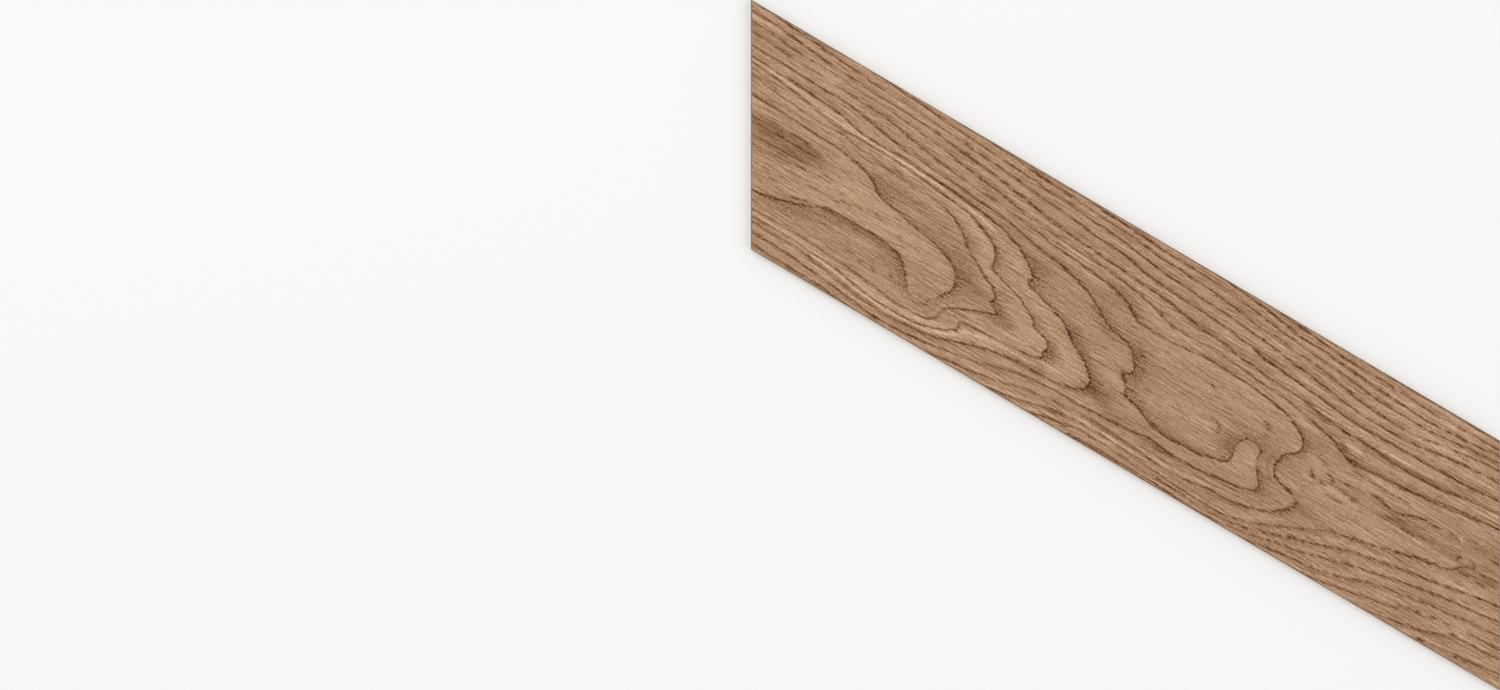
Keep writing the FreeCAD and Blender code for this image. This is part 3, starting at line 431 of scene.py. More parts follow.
    (-10, 1.1, [(326.8, 49.1), (343.3, 50.3)]), (-16, 1.2, [(349.8, 44.4), (360.8, 44.6)]), (-22, 1, [(207.1, 47.9), (220.9, 48.3)]),
    (-28, 1.1, [(248.5, 50.5), (263.3, 50.9)]), (-24, 1.1, [(235.6, 48.7), (247.6, 49.4)]), (-14, 1, [(276.1, 52.4), (290.9, 52.9)]),
    (-30, 1.1, [(220.9, 56.2), (241.2, 57.3), (257.7, 57.9)]), (-6, 1.1, [(307.4, 56.2), (314.8, 56.6)]), (-8, 1.1, [(317.6, 57.2), (325.9, 58.5)]),
    (-20, 1.2, [(344.3, 51.6), (350.7, 54)]), (-26, 1.1, [(364.5, 54.4), (378.3, 55.5)]), (-50, 1.3, [(379.2, 3.3), (391.2, 3.3)]),
    (-38, 1.3, [(397.7, 3.5), (404.1, 3.9)]), (-40, 1.1, [(412.4, 4.1), (431.7, 4.6)]), (-28, 1.2, [(434.5, 5.5), (445.5, 6.3)]),
    (-18, 1.3, [(448.3, 5.9), (459.3, 6.3)]), (-18, 1.2, [(466.7, 6.5), (478.7, 6.6)]), (-20, 1.1, [(379.2, 7.7), (386.6, 8.1)]),
    (-8, 1.1, [(390.3, 8.9), (397.7, 9.4)]), (-12, 1.1, [(399.5, 9.8), (408.7, 9.8)]), (-20, 1.2, [(428, 11.1), (434.5, 11.4)]),
    (-18, 1.1, [(435.4, 12.4), (447.4, 12.5)]), (-14, 1.1, [(449.2, 12.7), (460.2, 13.5)]), (-26, 1.2, [(463, 13.8), (475, 13.7)]),
    (-40, 1.3, [(475.4, 14.4), (480.5, 15.5)]), (-30, 1.1, [(481.4, 15.3), (489.7, 15.3)]), (-22, 1.3, [(497.1, 15.7), (509, 15.3)]),
    (-34, 1.3, [(510, 16.4), (520.1, 17.3)]), (-18, 1.2, [(520.1, 17.7), (531.1, 18.4)]), (-26, 1.2, [(531.1, 19), (536.6, 19.5)]),
    (-38, 1.3, [(375.6, 15.9), (382.9, 16.8)]), (-48, 1.4, [(389.4, 17.3), (405.9, 17.7)]), (-40, 1.2, [(405.9, 18.4), (413.3, 17.5)]),
    (-26, 1.1, [(416.1, 19.2), (423.4, 19.4)]), (-28, 1.2, [(423.4, 20.3), (430.8, 20.3)]), (-26, 1.2, [(432.2, 20.5), (440, 21.4)]),
    (-42, 1.3, [(440, 21.6), (448.3, 22.5)]), (-20, 1.3, [(455.6, 23.6), (465.8, 24.2)]), (-42, 1.5, [(466.7, 24.5), (473.1, 25.1)]),
    (-40, 1.2, [(482.3, 25.1), (492.5, 25.4)]), (-36, 1.2, [(494.3, 26), (500.7, 26.2)]), (-48, 1.4, [(501.7, 26.6), (508.1, 27.3)]),
    (-22, 1.5, [(516.4, 26.7), (530.2, 27.8)]), (-26, 1.2, [(535.7, 28.6), (544, 28.8)]), (-44, 1.3, [(544.9, 29.1), (552.3, 29.5)]),
    (-20, 1.2, [(379.2, 26.6), (390.3, 27.3)]), (-20, 1.3, [(391.2, 26.9), (403.2, 26.7)]), (-38, 1.3, [(403.2, 27.5), (417, 27.8)]),
    (-46, 1.5, [(417.9, 28.6), (425.3, 29.7)]), (-42, 1.3, [(425.3, 30.2), (431.7, 31.3)]), (-26, 1.3, [(435.4, 33.2), (445.5, 33)]),
    (-36, 1.3, [(447, 33.7), (452, 34.1)]), (-40, 1.3, [(452.9, 34.5), (461.2, 34.6)]), (-16, 1.2, [(462.1, 35.6), (477.7, 35.2)]),
    (-32, 1.3, [(478.2, 35.4), (484.2, 35.6)]), (-18, 1.2, [(485.1, 36), (490.6, 36.2)]), (-14, 1.3, [(497.1, 36), (509, 36.5)]),
    (-26, 1.3, [(510, 36.9), (530.2, 38)]), (-26, 1.3, [(531.1, 38), (539.4, 38.7)]), (-22, 1.3, [(539.4, 39.5), (544, 40)]),
    (-36, 1.3, [(544.9, 40.8), (552.3, 41.7)]), (-62, 1.3, [(375.6, 38.7), (387.5, 38.2)]), (-58, 1.3, [(390.3, 38.9), (398.6, 39.6)]),
    (-38, 1.2, [(405, 40.2), (417, 40.2)]), (-54, 1.3, [(417.9, 40.8), (425.3, 41.7)]), (-44, 1.4, [(434.5, 42.6), (445.5, 42.6)]),
    (-52, 1.4, [(448.3, 43.1), (459.3, 43.7)]), (-38, 1.7, [(461.2, 43.5), (472.2, 44.8)]), (-38, 1.5, [(473.6, 45.2), (478.7, 44.8)]),
    (-42, 1.7, [(478.3, 45.7), (488.8, 46.7)]), (-36, 1.6, [(487.9, 47), (499.8, 47.9)]), (-36, 1.6, [(498.9, 48.3), (505.4, 50.7)]),
    (-30, 1.3, [(533, 51.8), (541.2, 51.3)]), (-32, 1.4, [(541.2, 51.6), (545.9, 53.5), (551.4, 55)]), (-16, 1.1, [(371.9, 46.1), (384.8, 46.5)]),
    (-48, 1.1, [(394.9, 47.6), (403.2, 47.8)]), (-24, 1.1, [(410.5, 48.3), (419.7, 48.7)]),
    (-26, 1.2, [(420.7, 47.6), (424.3, 49.4), (430.8, 49.2)]), (-26, 1.2, [(434.5, 50.5), (443.7, 51.4)]), (-62, 1.3, [(445.5, 51.4), (450.1, 52)]),
    (-42, 1.4, [(469.5, 55.9), (475.9, 58.1)]), (-24, 1.3, [(482.3, 61.8), (490.6, 62.7)]), (-22, 1.3, [(383.8, 55.9), (394, 57.2)]),
    (-10, 1.1, [(397.7, 57.5), (406.9, 57.3)]), (-46, 1.5, [(416.1, 59), (424.3, 59.7)]), (-58, 1.5, [(424.3, 60.3), (432.6, 63.1)]),
    (-28, 1.3, [(434.5, 63.6), (441.8, 66.4)]), (-22, 1.3, [(442.8, 66.8), (448.3, 67.5)]), (-20, 1.5, [(449.2, 68.2), (455.6, 73.8)]),
    (-32, 1.5, [(368.2, 64.5), (378.3, 67.1)]), (-16, 1.3, [(379.2, 67.7), (387.5, 69.3)]), (-32, 1.3, [(389.4, 69.2), (394.9, 70.4)]),
    (-26, 1.5, [(395.8, 71), (404.1, 73.8)]), (-54, 1.4, [(543.1, 3.9), (549.5, 4.6)]), (-34, 1.5, [(550.5, 5.3), (562.4, 5.7)]),
    (-40, 1.5, [(562.4, 6.6), (572.5, 7.9)]), (-48, 1.3, [(577.1, 9), (589.1, 8.9)]), (-58, 1.2, [(586.4, 3), (599.2, 3.7)]),
    (-50, 1.2, [(607.5, 5), (619.5, 5.3)]), (-38, 1.3, [(631.5, 6.8), (639.7, 7.2)]), (-12, 1.1, [(639.7, 7.4), (655.4, 7)]),
    (-32, 1.1, [(670.1, 7.2), (683, 7)]), (-54, 1.3, [(683.9, 7.6), (692.2, 7.7)]), (-52, 1.4, [(593.3, 10.9), (599.2, 11.4)]),
    (-26, 1.3, [(599.2, 11.4), (609.4, 11), (625.9, 11.1)]), (-40, 1.3, [(625.9, 12.4), (633.3, 12.5)]), (-50, 1.7, [(635.1, 12.9), (642.5, 12.5)]),
    (-36, 1.4, [(644.3, 13.3), (653.5, 14.2)]), (-48, 1.7, [(651.7, 14.2), (666.4, 14.4)]), (-36, 1.3, [(664.6, 15.3), (673.8, 15.3)]),
    (-50, 1.5, [(679.3, 15.3), (692.2, 15.9)]), (-40, 1.4, [(543.1, 11.4), (552.3, 12.2)]), (-46, 1.3, [(557.8, 13.5), (563.3, 14)]),
    (-42, 1.4, [(565.2, 14), (571.6, 14.2)]), (-52, 1.4, [(571.6, 15.9), (576.2, 16)]), (-26, 1.1, [(576.2, 15.9), (590, 16)]),
    (-18, 1.2, [(609.4, 17.1), (612.1, 18.4), (614.9, 17.1)]), (-50, 1.2, [(570.7, 21.8), (578.1, 22.1)]), (-42, 1.2, [(579, 22.7), (591.9, 23.6)]),
    (-36, 1.2, [(602, 24.2), (614, 25.3)]), (-38, 1.2, [(617.7, 26), (628.7, 26.6)]), (-42, 1.3, [(629.6, 27.5), (643.4, 28.8)]),
    (-18, 1.3, [(644.9, 29.9), (649.9, 30.4)]), (-62, 1.8, [(655, 31.5), (661.8, 32.1)]), (-44, 1.4, [(662.4, 33), (667.4, 33.7), (677.5, 34.3)]),
    (-46, 1.5, [(677.5, 34.7), (683, 35)]), (-38, 1.4, [(637, 20.1), (645.3, 20.7)]), (-18, 1.3, [(646.2, 21), (654.5, 21.6)]),
    (-34, 1.3, [(653.5, 21.8), (666.4, 22.7)]), (-42, 1.3, [(669.2, 24), (675.6, 24.2)]), (-44, 1.5, [(552.8, 29.2), (557.8, 29.5)]),
    (-54, 1.5, [(562.4, 30.2), (570.7, 31)]), (-38, 1.4, [(571.6, 31), (579, 32.3)]), (-58, 1.6, [(579, 33.2), (584.5, 32.3)]),
    (-36, 1.3, [(589.1, 33.6), (598.3, 34.7)]), (-38, 1.4, [(598.3, 36), (605.7, 36), (612.1, 35.2)]), (-34, 1.4, [(621, 36.9), (627.8, 38)]),
    (-46, 1.5, [(628.7, 38.2), (643.4, 39.3)]), (-26, 1.3, [(650.4, 41.7), (660.9, 42.2)]), (-12, 1.2, [(660.9, 42.4), (669.2, 43.1)]),
    (-26, 1.5, [(669.2, 43.1), (676.6, 44.3)]), (-46, 1.5, [(683.9, 44.3), (690.4, 43.1)]), (-44, 1.5, [(561.5, 42.4), (568.9, 43.5)]),
    (-44, 1.5, [(569.8, 44.1), (577.1, 45)]), (-40, 1.6, [(578.1, 45.2), (588.2, 45.5)]), (-34, 1.4, [(591.9, 47), (600.2, 47.4)]),
    (-38, 1.3, [(599.2, 47.8), (609.4, 48.1), (620.4, 47.8)]), (-28, 1.3, [(625, 49.1), (641.6, 50.3)]), (-38, 1.5, [(641.6, 50.7), (655.4, 51.6)]),
    (-6, 1.5, [(657.2, 51.6), (672.9, 51.8)]), (-22, 1.4, [(673.8, 52.6), (681.2, 53.1)]), (-52, 1.3, [(555.1, 55.7), (570.7, 55.5)]),
    (-30, 1.3, [(571.6, 56.2), (581.8, 57)]), (-42, 1.3, [(698.7, 7.6), (707.9, 7.9)]), (-38, 1.3, [(708.8, 8.3), (714.3, 8.9)]),
    (-26, 1.2, [(714.3, 9), (737.3, 9.2)]), (-38, 1.3, [(759.4, 8.9), (769.5, 8.9)]), (-30, 1.3, [(781.5, 8.9), (791.6, 8.5)]),
    (-18, 1.3, [(798.1, 8.5), (803.6, 8.1)]), (-42, 1.5, [(697.7, 16.6), (709.7, 17.1)]), (-36, 1.3, [(709.7, 17.5), (720.7, 17.7)]),
    (-38, 1.3, [(723.5, 17.9), (747.4, 17.9)]), (-54, 1.4, [(751.7, 17.3), (759.4, 16.8)]), (-58, 1.4, [(760.9, 16.4), (776, 16.6)]),
    (-38, 1.2, [(780.6, 15.1), (786.1, 14.9)]), (-48, 1.3, [(786.5, 14.8), (791.1, 14.6)]), (-40, 1.2, [(793.5, 13.5), (799.9, 13.4)]),
    (-50, 1.2, [(802.7, 13.8), (809.1, 13.5)]), (-26, 1.3, [(681.2, 23.2), (700.5, 23.4)]), (-28, 1.3, [(681.2, 25.1), (699.6, 25.3)]),
    (-24, 1.3, [(701.4, 24.5), (710.6, 25.3), (723.5, 25.3)]), (-52, 1.5, [(724.4, 25.4), (735.5, 25.1)]),
    (-56, 1.3, [(738.8, 24.9), (748.4, 24.3)]), (-36, 1.2, [(750.2, 23.8), (759.4, 23.6)]), (-50, 1.3, [(760.3, 23.1), (766.8, 22.4), (776, 22.6)]),
    (-36, 1.3, [(778.7, 21.6), (792.5, 20.5)]), (-44, 1.3, [(792.5, 19.9), (799, 19.7)]), (-22, 1.2, [(801.7, 19.4), (809.1, 19)]),
    (-62, 1.5, [(683, 35.2), (688.5, 35)]), (-58, 1.3, [(688.5, 34.9), (700.5, 35.2)]), (-40, 1.2, [(700.5, 35.4), (719.8, 35.6)]),
    (-42, 1.5, [(739.2, 33.9), (745.6, 33)]), (-34, 1.5, [(748.4, 32.1), (753.9, 31.3)]), (-40, 1.3, [(765.8, 29.3), (775.1, 29)]),
    (-34, 1.4, [(778.4, 28.2), (783, 28)]), (-30, 1.3, [(783.3, 26.9), (792.5, 26.4)]), (-34, 1.2, [(792.5, 25.6), (804.5, 25.3)]),
    (-38, 1.3, [(809.1, 24.9), (815.6, 24)]), (-40, 1.1, [(775.1, 31.3), (785.2, 31.2)]), (-34, 1.3, [(691.3, 43.3), (705.1, 43.9)]),
    (-32, 1.3, [(706, 43.7), (720.7, 43.9)]), (-8, 1.2, [(729, 42.4), (734.6, 41.1)]), (-16, 1.2, [(731.8, 43.1), (740.1, 42.6)]),
    (-36, 1.7, [(743.8, 41.5), (752, 40)]), (-46, 1.5, [(752, 40.6), (763.1, 38.9)]), (-48, 1.6, [(764, 37.2), (767.7, 38.2), (775.1, 37.8)]),
    (-56, 1.5, [(774.1, 37.6), (782.4, 36.5)]), (-46, 1.7, [(781.5, 35.8), (793.5, 35.6)]), (-62, 1.5, [(793.5, 35.8), (801.7, 35)]),
    (-48, 1.7, [(806.4, 34.1), (819.2, 33.9)]), (-30, 1.4, [(682.1, 53.1), (696.8, 53.3)]), (-28, 1.5, [(697.7, 52.6), (717.1, 52.6)]),
    (-36, 1.5, [(717.1, 52.4), (721.7, 53.7)]), (-26, 1.4, [(722.6, 53.7), (734.6, 53.5)]), (-26, 1.4, [(738.2, 52.6), (747.4, 53.1)]),
    (-16, 1.2, [(739.2, 51.1), (747.4, 51.1)]), (-10, 1.3, [(753.9, 52.9), (761.2, 52.7)]), (-24, 1.6, [(765.8, 51.8), (779.7, 52.2)]),
    (-28, 1.5, [(780.6, 51.8), (791.6, 52.4)]), (-62, 1.4, [(796.2, 52.7), (805.4, 52.2)]), (-32, 1.3, [(805.4, 51.4), (815.6, 50.5)]),
    (-14, 1.1, [(806.4, 47), (815.6, 46.8)]), (-24, 1.2, [(816.5, 50), (829.4, 49.6)]),
    (-26, 1.2, [(562.4, 116.5), (568.9, 118), (572.5, 121.7), (573.5, 124.8), (571.3, 127.6)]),
    (-34, 1.4, [(649.9, 136.1), (655.4, 136.8), (659.1, 139.6), (657.2, 142)]), (-40, 1.3, [(665.1, 143.8), (668.3, 144.8)]),
    (-40, 1.2, [(665.5, 146.6), (668.7, 147.5)]), (-38, 1.2, [(664.6, 149.4), (668.3, 150.3)]), (-38, 1.2, [(662.8, 152.1), (666.4, 153.5)]),
    (-36, 1.2, [(660, 155.4), (663.7, 156.7)]), (-36, 1.2, [(656.3, 158.2), (660, 159.9)]), (-22, 1.1, [(602.9, 93.7), (614.9, 95)]),
    (-24, 1.1, [(604.8, 96.3), (614.9, 97.7)]), (-22, 1.1, [(605.7, 98.8), (614.9, 99.9)]),
    (-34, 1.4, [(235.6, 57.2), (257.7, 58.6), (276.1, 59.9), (290.9, 61.8)]), (-24, 1.3, [(213.6, 61.6), (230.1, 63.2), (257.7, 65.6)]),
    (-30, 1.2, [(334.1, 92.6), (347.9, 93)]), (16, 1.1, [(255, 148), (258.7, 153.1), (263.3, 158.6)]),
    (16, 1.1, [(288.1, 145.2), (285.4, 152.1), (281.7, 157.7)]), (-18, 1, [(342.4, 143.3), (377.4, 143.1)]),
    (14, 1.1, [(346.1, 146.2), (382, 145.7)]), (-18, 1, [(338.7, 149), (368.2, 149)]), (16, 1.1, [(317.6, 153.6), (342.4, 151.9)]),
    (-20, 1.1, [(303.8, 153.1), (324, 149.9)]), (14, 1.1, [(309.3, 150.3), (327.7, 147.2)]),
    (12, 1.3, [(682.1, 117.6), (695.9, 117.3), (706.9, 117.1)]), (14, 1.1, [(753, 118.4), (765.8, 117.8)]),
    (-10, 1.1, [(686.7, 123.5), (701.4, 123.4), (718, 123.2)]), (-24, 1.2, [(697.7, 115.3), (705.1, 114.7)]),
    (-26, 1.2, [(708.8, 114), (715.2, 114.5)]), (-32, 1.4, [(708.8, 117.1), (712.5, 116.9)]),
    (-12, 1.2, [(714.3, 117.1), (736.4, 116.7), (750.2, 116.4)]), (-16, 1.2, [(741.9, 113.8), (753, 113)]),
    (-24, 1.1, [(754.8, 110.3), (765.8, 109.9)]), (-16, 1.2, [(776.9, 113.8), (797.1, 113)]), (-16, 1.1, [(688.5, 106.8), (701.4, 106.6)]),
    (-20, 1.3, [(699.6, 106.4), (702.3, 105.1)]), (-14, 1.1, [(702.3, 105.1), (713.4, 104.7)]), (-12, 1.1, [(699.6, 92.2), (722.6, 92)]),
    (-14, 1.1, [(727.2, 93.1), (741, 93.3)]), (-16, 1.1, [(741.9, 92.8), (756.6, 92.2)]), (-8, 1.1, [(668.3, 99.9), (676.6, 99.6)]),
    (-28, 1.2, [(673.8, 115.3), (679.3, 116.7), (682.1, 117.3)]), (-30, 1.1, [(669.2, 118.4), (679.3, 118.4)]),
    (-22, 1.3, [(735.5, 104.2), (743.8, 104.7)]), (-36, 1.1, [(771.4, 107.5), (782.4, 106.6)]), (-10, 1.1, [(704.2, 135.3), (722.6, 135.2)]),
    (-8, 1.1, [(683, 133.7), (699.6, 134.1)]),
]


# ---- ring field --------------------------------------------------------------------------
ALONG_SQUEEZE = 3.0       # the figure is about this much longer along the grain than across


def _kernel(d2):
    return 0.5 * d2 * np.log(np.maximum(d2, 1e-12))


def ring_field():
    """A smooth function ring(u, v) that takes each line's number along that line."""
    pts, val = [], []
    for number, line in RINGS + BETWEEN:
        for u, v in line:
            pts.append((u / ALONG_SQUEEZE, v))
            val.append(float(number))
    pts, val = np.array(pts), np.array(val)
    n = len(pts)
    m = np.zeros((n + 3, n + 3))
    m[:n, :n] = _kernel(((pts[:, None] - pts[None]) ** 2).sum(-1)) + 2.0 * np.eye(n)
    m[:n, n] = m[n, :n] = 1.0
    m[:n, n + 1 :] = pts
    m[n + 1 :, :n] = pts.T
    sol = np.linalg.solve(m, np.r_[val, np.zeros(3)])

    def ring(u, v):
        q = np.stack([np.ravel(u) / ALONG_SQUEEZE, np.ravel(v)], 1)
        out = np.empty(len(q))
        for i in range(0, len(q), 4000):
            b = q[i : i + 4000]
            d2 = ((b[:, None, 0] - pts[None, :, 0]) ** 2) + ((b[:, None, 1] - pts[None, :, 1]) ** 2)
            out[i : i + 4000] = _kernel(d2) @ sol[:n] + sol[n] + b @ sol[n + 1 :]
        return out.reshape(np.shape(u))

    return ring


def spots(u, v, rows):
    """Sum of soft-edged ellipses (u, v, half length, half width, amount)."""
    out = np.zeros(np.shape(u))
    for cu, cv, ru, rv, amount in rows:
        r2 = ((u - cu) / ru) ** 2 + ((v - cv) / rv) ** 2
        out += amount * np.exp(-r2)
    return out


def bands(u, v, rows):
    """Sum of soft bands (amount, half width, points), each fading out at its ends."""
    out = np.zeros(np.shape(u))
    for amount, half, points in rows:
        near = np.full(np.shape(u), 1e9)
        for (au, av), (bu, bv) in zip(points[:-1], points[1:]):
            du, dv = bu - au, bv - av
            t = np.clip(((u - au) * du + (v - av) * dv) / (du * du + dv * dv), 0, 1)
            # past an end the distance counts less along the grain, which tapers the tip
            near = np.minimum(near, np.hypot((u - au - t * du) * 0.35, v - av - t * dv))
        out += amount * np.exp(-((near / half) ** 2))
    return out


def strokes(u, v, rows):
    """For each point the nearest fine stroke: distance across it, amount and half width.

    The shader draws the stroke from the distance, so that it stays finer than the mesh.
    """
    out = np.zeros((len(u), 3))
    out[:, 2] = 1.0
    best = np.full(len(u), 1e9)
    for amount, half, points in rows:
        pts = np.array(points, float)
        lo, hi = pts.min(0) - 5.0, pts.max(0) + 5.0
        pick = np.nonzero((u > lo[0]) & (u < hi[0]) & (v > lo[1]) & (v < hi[1]))[0]
        a, b = pts[:-1], pts[1:]
        step = b - a
        length = np.hypot(step[:, 0], step[:, 1])
        start = np.r_[0.0, np.cumsum(length)[:-1]]
        whole = length.sum()
        du, dv = u[pick, None] - a[None, :, 0], v[pick, None] - a[None, :, 1]
        along = (du * step[:, 0] + dv * step[:, 1]) / length
        held = np.clip(along, 0, length)
        held[:, 0] = np.minimum(along[:, 0], length[0])
        held[:, -1] = np.maximum(along[:, -1], 0 if len(length) > 1 else -1e9)
        if len(length) == 1:
            held = along
        off = np.hypot(du - held * step[:, 0] / length, dv - held * step[:, 1] / length)
        k = off.argmin(1)
        i = np.arange(len(pick))
        side = np.sign(step[k, 0] * dv[i, k] - step[k, 1] * du[i, k])
        far = start[k] + held[i, k]
        end = min(3.0, 0.35 * whole) + 1.0
        tip = np.clip(np.minimum(far, whole - far) / end + 0.35, 0, 1)
        near = np.clip((2.4 - off[i, k]) / 1.4, 0, 1)
        weight = tip * tip * (3 - 2 * tip) * near * near * (3 - 2 * near)
        take = (weight > 0.01) & (off[i, k] < best[pick])
        at = pick[take]
        best[at] = off[i, k][take]
        out[at, 0] = (side * off[i, k])[take]
        out[at, 1] = amount * weight[take]
        out[at, 2] = half
    return out


def apart(rows, gap=5.5):
    """Sort the fine strokes into layers in which no two come near each other."""
    layers = []
    for row in rows:
        pts = np.array(row[2], float)
        parts = [a + (b - a) * np.linspace(0, 1, 2 + int(np.hypot(*(b - a)) / 1.5))[:, None] for a, b in zip(pts[:-1], pts[1:])]
        trail = np.concatenate(parts)
        for held in layers:
            others = np.concatenate([t for _, t in held])
            if np.hypot(trail[:, None, 0] - others[None, :, 0], trail[:, None, 1] - others[None, :, 1]).min() > gap:
                held.append((row, trail))
                break
        else:
            layers.append([(row, trail)])
    return [[row for row, _ in held] for held in layers]


# ---- mesh --------------------------------------------------------------------------------
COLUMNS = 380             # quads along the face
BACK_EVERY = 10           # the back has a column of points for every so many of the face's
RIM = [                   # profile of the edge from the face to the back: (inset, height)
    (0.95, 9.0), (0.75, 8.945), (0.45, 8.64), (0.12, 8.30), (0.0, 8.08),
    (0.0, 7.5), (0.0, 0.9), (0.0, 0.45), (0.12, 0.29), (0.42, 0.0),
]
BEVEL_LOOPS, WALL_LOOPS = 4, 3      # how many of the profile's steps are bevel, then wall


def groove_height(v):
    """Height of the back surface at v."""
    s = np.abs(np.asarray(v)[..., None] - STRIP_WIDTH / 2 - np.array(GROOVES))
    return np.clip(GROOVE_MOUTH / 2 - s, 0, GROOVE_DEPTH).max(-1)


def row_places():
    """v of the mesh rows: even steps, with exact rows at the shoulders of the back grooves."""
    shoulders = []
    for g in GROOVES:
        for s in (GROOVE_MOUTH / 2, GROOVE_MOUTH / 2 - GROOVE_DEPTH):
            shoulders += [STRIP_WIDTH / 2 + g - s, STRIP_WIDTH / 2 + g + s]
    shoulders = np.array(sorted(shoulders))
    inset = RIM[0][0]
    even = np.linspace(inset, STRIP_WIDTH - inset, 200)
    keep = [x for x in even if np.abs(shoulders - x).min() > 0.42]
    return np.array(sorted(keep + list(shoulders)))


def to_tile(x, v):
    """Tile-frame x, y from tile-frame x and the strip's v."""
    u = (x + HALF_RUN + v * SIN) / COS
    return x, TOP_LEFT[1] - u * SIN - v * COS


